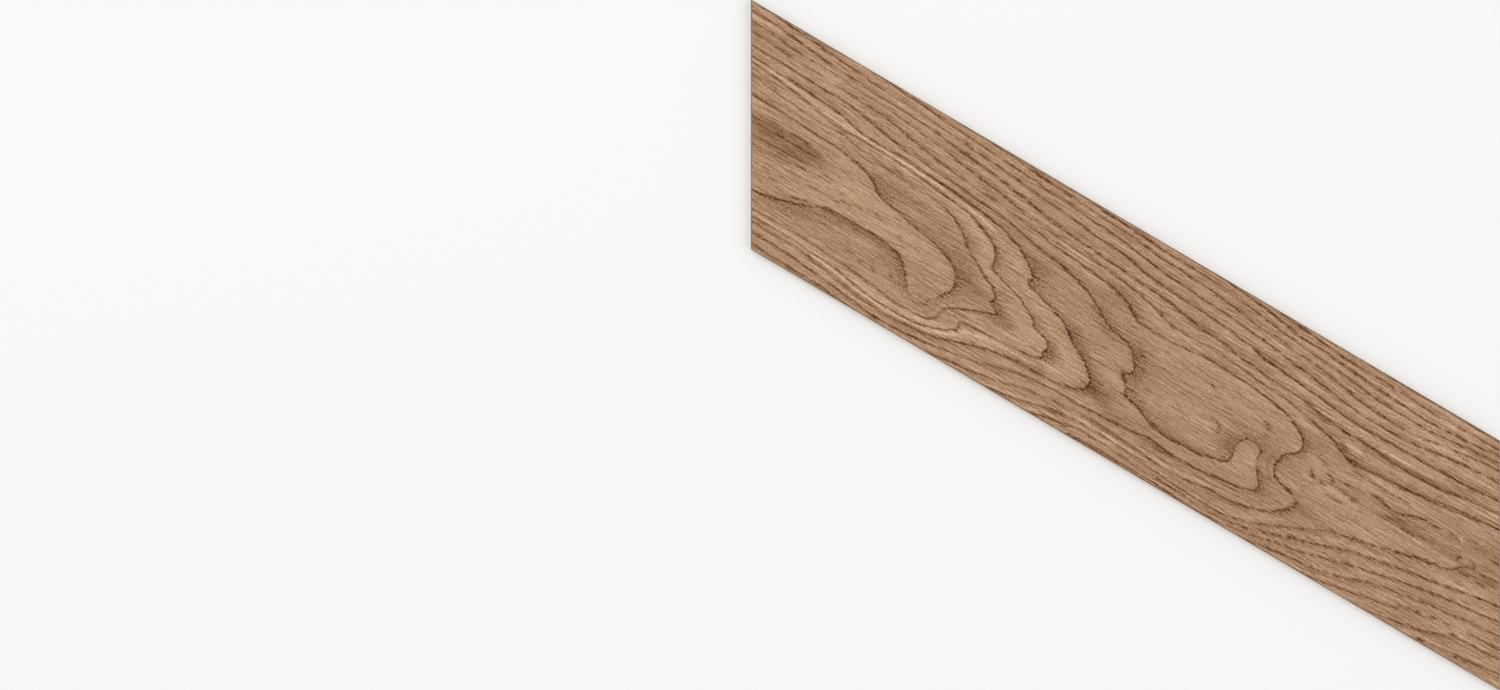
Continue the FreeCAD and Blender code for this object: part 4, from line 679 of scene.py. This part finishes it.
def build_tile():
    rows = row_places()
    nj, ni = len(rows) - 1, COLUMNS
    inset = RIM[0][0]
    cols = np.linspace(-HALF_RUN + inset, HALF_RUN - inset, ni + 1)

    # face
    X, V = np.meshgrid(cols, rows, indexing="ij")
    U = (X + HALF_RUN + V * SIN) / COS
    ring = ring_field()
    phi = ring(U, V)
    h = 0.6
    gu = (ring(U + h, V) - ring(U - h, V)) / (2 * h)
    gv = (ring(U, V + h) - ring(U, V - h)) / (2 * h)
    width = 1.0 / np.maximum(np.hypot(gu, gv), 0.012)
    frac = phi - np.floor(phi)
    off = np.minimum(frac, 1 - frac) * width
    strength = np.clip(1.0 + spots(U, V, LINE_STRENGTH), 0.05, 1.6)
    rng = np.random.default_rng(5)
    # emboss: grooves along the ring lines and shallow runs of fibres, all cut below the face
    sink = 0.13 * strength * np.exp(-((off / 1.1) ** 2)) + 0.05 * np.exp(-frac * width / np.clip(0.2 * width, 1.4, 8.0))
    runs = rng.random((ni // 9 + 3, nj + 1))
    at = np.arange(ni + 1) / 9.0
    k = at.astype(int)
    t = (at - k)[:, None]
    t = t * t * (3 - 2 * t)
    sink += 0.05 * (runs[k] * (1 - t) + runs[k + 1] * t)
    edge = np.minimum(np.minimum(V, STRIP_WIDTH - V), np.minimum(X + HALF_RUN, HALF_RUN - X))
    sink *= np.clip((edge - inset) / 2.5, 0, 1)
    Z = THICKNESS - sink

    index = np.arange((ni + 1) * (nj + 1)).reshape(ni + 1, nj + 1)
    px, pv, pz = [X.ravel()], [V.ravel()], [Z.ravel()]
    quads = [np.stack([index[:-1, :-1], index[:-1, 1:], index[1:, 1:], index[1:, :-1]], -1).reshape(-1, 4)]
    groups = [np.zeros(len(quads[0]), int)]
    sides = [np.zeros(len(quads[0]), int)]

    # rim: loops round the outline, each the same number of points
    ci = np.r_[np.arange(ni + 1), np.full(nj - 1, ni), np.arange(ni, -1, -1), np.zeros(nj - 1, int)]
    rj = np.r_[np.zeros(ni + 1, int), np.arange(1, nj), np.full(ni + 1, nj), np.arange(nj - 1, 0, -1)]
    count = len(ci)
    side_of = np.r_[np.zeros(ni, int), np.full(nj, 1), np.full(ni, 2), np.full(nj, 3)]
    last = index[ci, rj]
    total = (ni + 1) * (nj + 1)
    for step, (d, z) in enumerate(RIM[1:]):
        x, v = cols[ci].copy(), rows[rj].copy()
        x[ci == 0], x[ci == ni] = -HALF_RUN + d, HALF_RUN - d
        v[rj == 0], v[rj == nj] = d, STRIP_WIDTH - d
        zz = np.full(count, z)
        if z < 1.0:
            g = groove_height(v)
            zz = np.maximum(zz, np.where(g > 0, g, 0))
        px.append(x); pv.append(v); pz.append(zz)
        new = total + np.arange(count)
        total += count
        quads.append(np.stack([last, np.roll(last, -1), np.roll(new, -1), new], -1))
        groups.append(np.full(count, 0 if step < BEVEL_LOOPS else 1 if step < BEVEL_LOOPS + WALL_LOOPS else 2))
        sides.append(side_of.copy())
        last = new

    # back: every row, but only some of the columns
    where = {(int(a), int(b)): int(c) for a, b, c in zip(ci, rj, last)}
    some = list(range(0, ni + 1, BACK_EVERY))
    bx, bv = [], []
    for i in some[1:-1]:
        for j in range(1, nj):
            where[(i, j)] = total + len(bx)
            bx.append(cols[i]); bv.append(rows[j])
    px.append(np.array(bx)); pv.append(np.array(bv)); pz.append(groove_height(np.array(bv)))
    polys = []
    for a, b in zip(some[:-1], some[1:]):
        for j in range(nj):
            top = [where[(i, j)] for i in (range(a, b + 1) if j == 0 else (a, b))]
            low = [where[(i, j + 1)] for i in (range(a, b + 1) if j + 1 == nj else (a, b))]
            polys.append(top + low[::-1])

    px, pv, pz = (np.concatenate(p) for p in (px, pv, pz))
    tx, ty = to_tile(px, pv)
    verts = np.stack([tx, ty, pz], 1) / 1000.0
    faces = np.concatenate(quads).tolist() + polys
    group = np.r_[np.concatenate(groups), np.full(len(polys), 2)]
    side = np.r_[np.concatenate(sides), np.zeros(len(polys), int)]

    mesh = bpy.data.meshes.new("chevron_tile_skin")
    mesh.from_pydata(verts.tolist(), [], faces)
    mesh.update()

    # attributes that the materials read
    pu = (px + HALF_RUN + pv * SIN) / COS
    n_face = (ni + 1) * (nj + 1)
    full = np.zeros((len(px), 3))
    full[:, 0], full[:, 1], full[:, 2] = pu, pv, pz
    _attribute(mesh, "strip", full)
    rest_u, rest_v = pu[n_face:], pv[n_face:]
    n_rim = count * (len(RIM) - 1)
    ru, rv = rest_u[:n_rim], rest_v[:n_rim]
    ringv = np.zeros((len(px), 3))
    ringv[:n_face] = np.stack([phi.ravel(), gu.ravel(), gv.ravel()], 1)
    ringv[n_face : n_face + n_rim] = np.tile(ringv[index[ci, rj]], (len(RIM) - 1, 1))
    _attribute(mesh, "ring", ringv)
    tone = np.zeros((len(px), 3))
    tone[:, 0] = spots(pu, pv, TONE) + bands(pu, pv, BANDS)
    tone[:, 1] = np.clip(1.0 + spots(pu, pv, LINE_STRENGTH), 0.05, 1.6)
    tone[:, 2] = np.clip(1.0 + spots(pu, pv, HALO_STRENGTH), 0.0, 3.0)
    _attribute(mesh, "tone", tone)
    sheets = apart(STROKES)
    for k, held in enumerate(sheets):
        _attribute(mesh, "fine%d" % k, strokes(pu, pv, held))
    more = np.zeros((len(px), 3))
    more[:, 0] = np.minimum(np.minimum(pv, STRIP_WIDTH - pv), np.minimum(px + HALF_RUN, HALF_RUN - px))
    _attribute(mesh, "more", more)

    # one map: the face opened square, with the back and the edges in strips above it
    corner = np.empty(len(mesh.loops), np.int64)
    mesh.loops.foreach_get("vertex_index", corner)
    loops = np.empty(len(mesh.polygons), np.int64)
    mesh.polygons.foreach_get("loop_total", loops)
    cg, cs = np.repeat(group, loops), np.repeat(side, loops)
    fx, fv, fz = (px[corner] + HALF_RUN) / (2 * HALF_RUN), pv[corner] / STRIP_WIDTH, pz[corner] / THICKNESS
    uu = 0.004 + 0.992 * fx
    vv = 0.004 + 0.80 * (1 - fv)
    back = cg == 2
    vv[back] = 0.815 + 0.10 * fv[back]
    wall = cg == 1
    ends = wall & (cs % 2 == 1)
    uu[ends] = np.where(cs[ends] == 1, 0.004, 0.504) + 0.492 * fv[ends]
    base = np.choose(cs[wall], [0.925, 0.975, 0.950, 0.975])
    vv[wall] = base + 0.015 * fz[wall]
    layer = mesh.uv_layers.new(name="OFBake")
    layer.data.foreach_set("uv", np.stack([uu, vv], 1).astype(np.float32).ravel())

    mesh.polygons.foreach_set("material_index", group.astype(np.int32))
    mesh.polygons.foreach_set("use_smooth", group == 0)
    mesh.update()
    tile = bpy.data.objects.new("chevron_tile_skin", mesh)
    bpy.context.scene.collection.objects.link(tile)
    return tile, len(sheets)


def _attribute(mesh, name, values):
    layer = mesh.attributes.new(name, "FLOAT_VECTOR", "POINT")
    layer.data.foreach_set("vector", np.asarray(values, np.float32).ravel())


# ---- materials ---------------------------------------------------------------------------
class Graph:
    """Short names for the shader nodes used here."""

    def __init__(self, name):
        self.material = bpy.data.materials.new(name)
        self.material.use_nodes = True
        self.tree = self.material.node_tree
        self.tree.nodes.clear()

    def add(self, kind, **settings):
        node = self.tree.nodes.new(kind)
        for key, value in settings.items():
            setattr(node, key, value)
        return node

    def put(self, value, socket):
        if isinstance(value, (int, float)):
            socket.default_value = value
        elif isinstance(value, tuple):
            socket.default_value = value
        else:
            self.tree.links.new(value, socket)

    def math(self, op, *args, clamp=False):
        node = self.add("ShaderNodeMath", operation=op, use_clamp=clamp)
        for value, socket in zip(args, node.inputs):
            self.put(value, socket)
        return node.outputs[0]

    def sum(self, *args):
        out = args[0]
        for a in args[1:]:
            out = self.math("ADD", out, a)
        return out

    def scaled(self, a, k, b=0.0):
        return self.math("MULTIPLY_ADD", a, k, b)

    def times(self, *args):
        out = args[0]
        for a in args[1:]:
            out = self.math("MULTIPLY", out, a)
        return out

    def attribute(self, name):
        node = self.add("ShaderNodeAttribute", attribute_type="GEOMETRY", attribute_name=name)
        parts = self.add("ShaderNodeSeparateXYZ")
        self.tree.links.new(node.outputs["Vector"], parts.inputs[0])
        return parts.outputs

    def noise(self, u, v, lu, lv, seed, detail=0.0, rough=0.5):
        """Noise of grain size lu x lv millimetres."""
        vec = self.add("ShaderNodeCombineXYZ")
        self.put(self.scaled(u, 1.0 / lu, seed * 7.31 + 3.7), vec.inputs[0])
        self.put(self.scaled(v, 1.0 / lv, seed * 3.17 + 11.3), vec.inputs[1])
        node = self.add("ShaderNodeTexNoise", noise_dimensions="2D")
        self.tree.links.new(vec.outputs[0], node.inputs["Vector"])
        node.inputs["Scale"].default_value = 1.0
        node.inputs["Detail"].default_value = detail
        node.inputs["Roughness"].default_value = rough
        return node.outputs[0]

    def swing(self, noise, amount):
        """Noise as a swing about zero."""
        return self.scaled(noise, 2.0 * amount, -amount)

    def fade(self, x, a, b, lo=0.0, hi=1.0):
        """Smooth change from lo at a to hi at b."""
        node = self.add("ShaderNodeMapRange", interpolation_type="SMOOTHSTEP", clamp=True)
        for value, socket in zip((x, a, b, lo, hi), node.inputs):
            self.put(value, socket)
        return node.outputs[0]

    def mix(self, f, a, b):
        node = self.add("ShaderNodeMix", data_type="RGBA")
        self.put(f, node.inputs["Factor"])
        self.put(a, node.inputs[6])
        self.put(b, node.inputs[7])
        return node.outputs[2]

    def ramp(self, x, stops):
        node = self.add("ShaderNodeValToRGB")
        band = node.color_ramp
        while len(band.elements) < len(stops):
            band.elements.new(0.5)
        for element, (at, colour) in zip(band.elements, stops):
            element.position = at
            element.color = (*colour, 1.0)
        self.put(x, node.inputs[0])
        return node.outputs[0]

    def surface(self, colour, rough, height=None, depth=0.0002, specular=0.35):
        shader = self.add("ShaderNodeBsdfPrincipled")
        self.put(colour, shader.inputs["Base Color"])
        self.put(rough, shader.inputs["Roughness"])
        shader.inputs["Specular IOR Level"].default_value = specular
        if height is not None:
            bump = self.add("ShaderNodeBump")
            bump.inputs["Strength"].default_value = 1.0
            bump.inputs["Distance"].default_value = depth
            self.put(height, bump.inputs["Height"])
            self.tree.links.new(bump.outputs[0], shader.inputs["Normal"])
        out = self.add("ShaderNodeOutputMaterial")
        self.tree.links.new(shader.outputs[0], out.inputs["Surface"])
        return self.material


def linear(r, g, b):
    """Scene colour of a display colour given in 0-255."""
    return tuple((c / 255 / 12.92) if c <= 10.31 else ((c / 255 + 0.055) / 1.055) ** 2.4 for c in (max(r, 0), max(g, 0), max(b, 0)))


LOW, HIGH = 50.0, 210.0       # range of the tone scale
PORE_ROW = 2.7                # height of a row of pores
GAIN, SHEEN = 0.943, 0.0198   # what the stage's light makes of a face colour: gain, and sheen added


def printed(t):
    """Scene colour that shows as tone t of the print."""
    return tuple(max(c - SHEEN, 0.002) / GAIN for c in linear(t + 30.3, t - 5.5, t - 34.2))


def face_material(sheets):
    g = Graph("oak_print_porcelain")
    u, v, _ = g.attribute("strip")
    phi, gu, gv = g.attribute("ring")
    slow, strength, halo_strength = g.attribute("tone")
    rim = g.attribute("more")[0]

    # fibres wander a little across the strip
    v1 = g.sum(v, g.swing(g.noise(u, v, 70, 18, 1), 1.8))

    # ring lines: jagged by a fibre's length along the grain and by about a fibre's width across it
    slope = g.math("SQRT", g.sum(g.times(gu, gu), g.times(gv, gv)))
    across = g.math("DIVIDE", g.math("ABSOLUTE", gu), g.math("MAXIMUM", slope, 0.001))
    du = g.times(g.swing(g.noise(u, v1, 9, 1.7, 2), 1.0), g.scaled(across, -1.2, 2.2))
    dv = g.sum(g.swing(g.noise(u, v1, 5.0, 2.4, 3), 0.4), g.swing(g.noise(u, v1, 30, 9, 4), 0.6))
    # where a line crosses the fibres at a slant it breaks into short pores, each lying along the grain
    slant = g.times(g.fade(across, 0.12, 0.24, 0.0, 0.8), g.fade(across, 0.45, 0.75, 1.0, 0.25), g.sum(g.times(g.fade(u, 590, 670), g.fade(v, 118, 138), 0.85), 0.15))
    place = g.sum(g.math("FRACT", g.sum(g.scaled(v1, 1 / PORE_ROW), g.swing(g.noise(u, v1, 26, 5, 44), 0.9))), -0.5)
    pore = g.fade(g.times(slant, g.math("ABSOLUTE", place)), 0.10, 0.40, 1.0, 0.25)
    dv = g.sum(dv, g.times(place, slant, -PORE_ROW))
    phi2 = g.sum(phi, g.times(gu, du), g.times(gv, dv))
    width = g.math("DIVIDE", 1.0, g.math("MAXIMUM", slope, 0.012))
    frac = g.math("FRACT", phi2)
    outside = g.times(frac, width)
    inside = g.times(g.math("SUBTRACT", 1.0, frac), width)
    near = g.math("MINIMUM", g.sum(outside, 0.3), g.math("ABSOLUTE", g.sum(inside, -0.3)))

    # a line is a run of pores, now thicker and now thinner
    bead = g.times(g.fade(g.noise(u, v1, 6.0, 2.4, 15), 0.28, 0.62, 0.72, 1.08), g.fade(g.noise(u, v1, 2.3, 1.7, 20), 0.30, 0.66, 0.70, 1.15))
    dash = g.fade(g.noise(u, v1, 22, 2.4, 5), 0.25, 0.60, 0.62, 1.10)
    thick = g.fade(g.noise(u, v1, 7, 3, 16), 0.3, 0.7, 1.2, 2.05)
    core = g.fade(near, 0.35, thick, 1.0, 0.0)
    line = g.times(core, bead, dash, pore, strength, g.fade(width, 20.0, 60.0, 1.0, 0.88), g.fade(width, 5.0, 9.5, 0.82, 1.0))

    # darker, pore-speckled wood just outside each line, and a little inside the widest rings
    reach = g.math("MINIMUM", g.math("MAXIMUM", g.scaled(width, 0.19), 1.5), 9.5)
    halo = g.times(g.math("EXPONENT", g.times(g.math("DIVIDE", outside, reach), -1.0)), g.fade(width, 6.0, 24.0, 0.60, 1.0), g.fade(across, 0.1, 0.7, 0.92, 1.25), halo_strength, strength)
    speckle = g.fade(g.noise(u, v1, 2.3, 1.6, 6), 0.46, 0.62)
    inner = g.times(g.math("EXPONENT", g.scaled(inside, -0.30)), g.fade(width, 18.0, 50.0), strength)
    halo_tone = g.sum(g.times(halo, g.scaled(speckle, -30.0, -13.0)), g.scaled(inner, -10.0))

    # thin fibre strokes, each dark with a pale painted highlight along its lower edge, as if an embossed groove caught
    # the light, over fine grain and soft mottling
    def dashes(lu, lv, seed, lo, hi, dark, pale):
        one = g.fade(g.noise(u, v1, lu, lv, seed), lo, hi)
        # a copy shifted 1.3 mm across the strip, added pale: the painted highlight on each stroke's lower edge
        two = g.fade(g.noise(u, g.sum(v1, -1.3), lu, lv, seed), lo, hi)
        return g.sum(g.scaled(one, -dark), g.scaled(two, pale))

    layers = g.times(g.swing(g.noise(u, g.scaled(phi2, 10.0), 90, 2.2, 18), 16.0), g.fade(width, 12.0, 26.0, 1.0, 0.0))
    fibre = g.sum(
        dashes(14, 1.5, 7, 0.60, 0.76, 18.0, 8.0),
        dashes(52, 2.0, 8, 0.57, 0.74, 13.0, 9.0),
        g.swing(g.noise(u, v1, 7, 2.2, 12), 9.0),
        g.swing(g.noise(u, v1, 30, 2.4, 17), 7.0),
        g.swing(g.noise(u, v1, 2.4, 1.4, 10), 12.0),
        g.swing(g.noise(u, v1, 1.1, 1.0, 19), 20.0),
        g.times(g.swing(g.noise(u, v1, 13, 1.1, 45), 13.0), g.fade(width, 12.0, 26.0, 1.0, 0.4)),
        g.swing(g.noise(u, v1, 48, 8, 9, 1.0), 12.0),
        g.swing(g.noise(u, v1, 70, 17, 43, 0.0), 8.0),
    )

    # single strokes, each wavering by part of a fibre
    waver = g.swing(g.noise(u, v1, 4.0, 1.8, 41), 0.3)
    broken = g.fade(g.noise(u, v1, 3.2, 2.0, 42), 0.3, 0.62, 0.52, 1.22)

    def stroke(name):
        off, amount, half = g.attribute(name)
        ratio = g.math("DIVIDE", g.sum(off, waver), g.math("MAXIMUM", half, 0.3))
        return g.times(amount, broken, g.math("EXPONENT", g.scaled(g.times(ratio, ratio), -1.0)))

    marks = g.sum(*[stroke("fine%d" % k) for k in range(sheets)])

    tone = g.sum(
        slow,
        marks,
        g.scaled(line, -55.0, 146.0),
        halo_tone,
        g.scaled(frac, 6.0, -3.0),
        layers,
        fibre,
    )
    where = g.math("MULTIPLY_ADD", tone, 1.0 / (HIGH - LOW), -LOW / (HIGH - LOW), clamp=True)
    wood = g.ramp(where, [(k / 8, printed(LOW + (HIGH - LOW) * k / 8)) for k in range(9)])

    # the ground bevel is painted a darker, greyer brown, in patches along it
    bevel_patches = g.noise(u, v, 30, 30, 14, 2.0)
    bevel = g.times(g.fade(rim, 0.5, 1.5, 1.0, 0.0), g.fade(bevel_patches, 0.3, 0.7, 0.55, 1.0))
    colour = g.mix(bevel, wood, (*linear(112, 96, 76), 1.0))

    height = g.sum(g.scaled(line, -0.6), g.scaled(g.times(halo, speckle), -0.4), g.scaled(fibre, 0.010), g.scaled(marks, 0.012), g.scaled(halo, -0.15))
    rough = g.math("MULTIPLY_ADD", where, 0.12, 0.52)
    return g.surface(colour, rough, height, 0.00012, 0.3)


def body_material():
    """Bare fired body on the ground edges."""
    g = Graph("porcelain_body")
    u, v, z = g.attribute("strip")
    run = g.sum(u, v)
    grain = g.noise(run, z, 0.9, 0.6, 21, 2.0)
    cloud = g.noise(run, z, 60, 8, 22, 2.0)
    scratch = g.noise(run, z, 45, 0.22, 23, 1.0)
    speck = g.fade(g.noise(run, z, 0.7, 0.7, 24), 0.70, 0.80)
    shade = g.sum(g.swing(grain, 0.35), g.swing(cloud, 0.30), g.swing(scratch, 0.25), 0.5)
    colour = g.ramp(shade, [(0.0, linear(160, 143, 121)), (0.5, linear(186, 170, 147)), (1.0, linear(203, 189, 167))])
    colour = g.mix(g.scaled(speck, 0.45), colour, (*linear(120, 104, 86), 1.0))
    glaze = g.fade(g.sum(z, g.swing(g.noise(run, z, 3.0, 3.0, 25, 1.0), 0.5)), 7.55, 7.95)
    colour = g.mix(g.scaled(glaze, 0.75), colour, (*linear(122, 100, 77), 1.0))
    rough = g.math("MULTIPLY_ADD", grain, 0.2, 0.6)
    height = g.sum(g.scaled(grain, 0.5), g.scaled(scratch, 0.5))
    return g.surface(colour, rough, height, 0.00008, 0.3)


def back_material():
    """Pressed back: bare body with a thin pale film of kiln wash on what stands proud."""
    g = Graph("porcelain_back")
    u, v, z = g.attribute("strip")
    grain = g.noise(u, v, 0.9, 0.9, 31, 3.0, 0.6)
    cloud = g.noise(u, v, 90, 60, 32, 3.0)
    drag = g.noise(u, v, 40, 1.8, 33, 1.0)
    shade = g.sum(g.swing(grain, 0.45), g.swing(cloud, 0.30), 0.5)
    colour = g.ramp(shade, [(0.0, linear(158, 141, 119)), (0.5, linear(181, 165, 143)), (1.0, linear(198, 184, 163))])
    film = g.times(g.fade(z, 0.02, 0.35, 1.0, 0.0), g.fade(g.sum(g.scaled(cloud, 0.5), g.scaled(drag, 0.5)), 0.35, 0.65, 0.30, 0.62))
    colour = g.mix(film, colour, (*linear(210, 202, 188), 1.0))
    speck = g.fade(g.noise(u, v, 0.8, 0.8, 34), 0.71, 0.80)
    colour = g.mix(g.scaled(speck, 0.4), colour, (*linear(118, 102, 86), 1.0))
    rough = g.math("MULTIPLY_ADD", grain, 0.2, 0.68)
    return g.surface(colour, rough, g.sum(g.scaled(grain, 0.8), g.scaled(drag, 0.3)), 0.00012, 0.25)


# ---- put together ------------------------------------------------------------------------
tile, sheets = build_tile()
for material in (face_material(sheets), body_material(), back_material()):
    tile.data.materials.append(material)
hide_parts("chevron_tile")
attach(tile, "root")


# ---- stage -------------------------------------------------------------------------------
def stage():
    mesh = bpy.data.meshes.new("floor")
    s = 60.0
    mesh.from_pydata([(-s, -s, 0), (s, -s, 0), (s, s, 0), (-s, s, 0)], [], [(0, 1, 2, 3)])
    floor = bpy.data.objects.new("floor", mesh)
    bpy.context.scene.collection.objects.link(floor)
    floor.location.z = -0.0002
    g = Graph("pale_floor")
    shader = g.add("ShaderNodeBsdfPrincipled")
    shader.inputs["Base Color"].default_value = (0.97, 0.97, 0.965, 1.0)
    shader.inputs["Roughness"].default_value = 0.9
    shader.inputs["Specular IOR Level"].default_value = 0.1
    out = g.add("ShaderNodeOutputMaterial")
    g.tree.links.new(shader.outputs[0], out.inputs["Surface"])
    mesh.materials.append(g.material)

    world = bpy.data.worlds.new("studio")
    world.use_nodes = True
    back = world.node_tree.nodes["Background"]
    back.inputs[0].default_value = (1.0, 1.0, 1.0, 1.0)
    back.inputs[1].default_value = WORLD
    bpy.context.scene.world = world

    def panel(name, place, aim, size, power):
        data = bpy.data.lights.new(name, "AREA")
        data.shape = "SQUARE"
        data.size = size
        data.energy = power
        lamp = bpy.data.objects.new(name, data)
        bpy.context.scene.collection.objects.link(lamp)
        lamp.location = place
        way = np.array(aim, float) - np.array(place, float)
        from mathutils import Vector
        lamp.rotation_mode = "QUATERNION"
        lamp.rotation_quaternion = Vector(way).to_track_quat("-Z", "Y")

    panel("key", (-2.4, 2.6, 4.2), (0, 0, 0), 2.4, KEY)
    panel("fill", (3.0, -1.6, 3.6), (0, 0, 0), 3.0, FILL)


WORLD, KEY, FILL = 0.76, 56.0, 26.0
stage()

# ---- camera: square on to the face, at the photo's framing -------------------------------
PIXEL = 689.30 / 749.0 / 1000.0          # metres of the face in one pixel of the 1500 x 690 frame
DISTANCE = 6.0
camera_data = bpy.data.cameras.new("camera")
camera_data.sensor_width = 36.0
camera_data.lens = 36.0 * DISTANCE / (1500 * PIXEL)
camera_data.clip_end = 200.0
camera = bpy.data.objects.new("camera", camera_data)
bpy.context.scene.collection.objects.link(camera)
# the upper end stands at x = 751 in the frame, and the tile's middle height at y = 345
camera.location = (-HALF_RUN / 1000 - (751 - 750) * PIXEL, 0.0, THICKNESS / 1000 + DISTANCE)
bpy.context.scene.camera = camera
bpy.context.scene.view_settings.view_transform = "Standard"
bpy.context.scene.view_settings.look = "None"
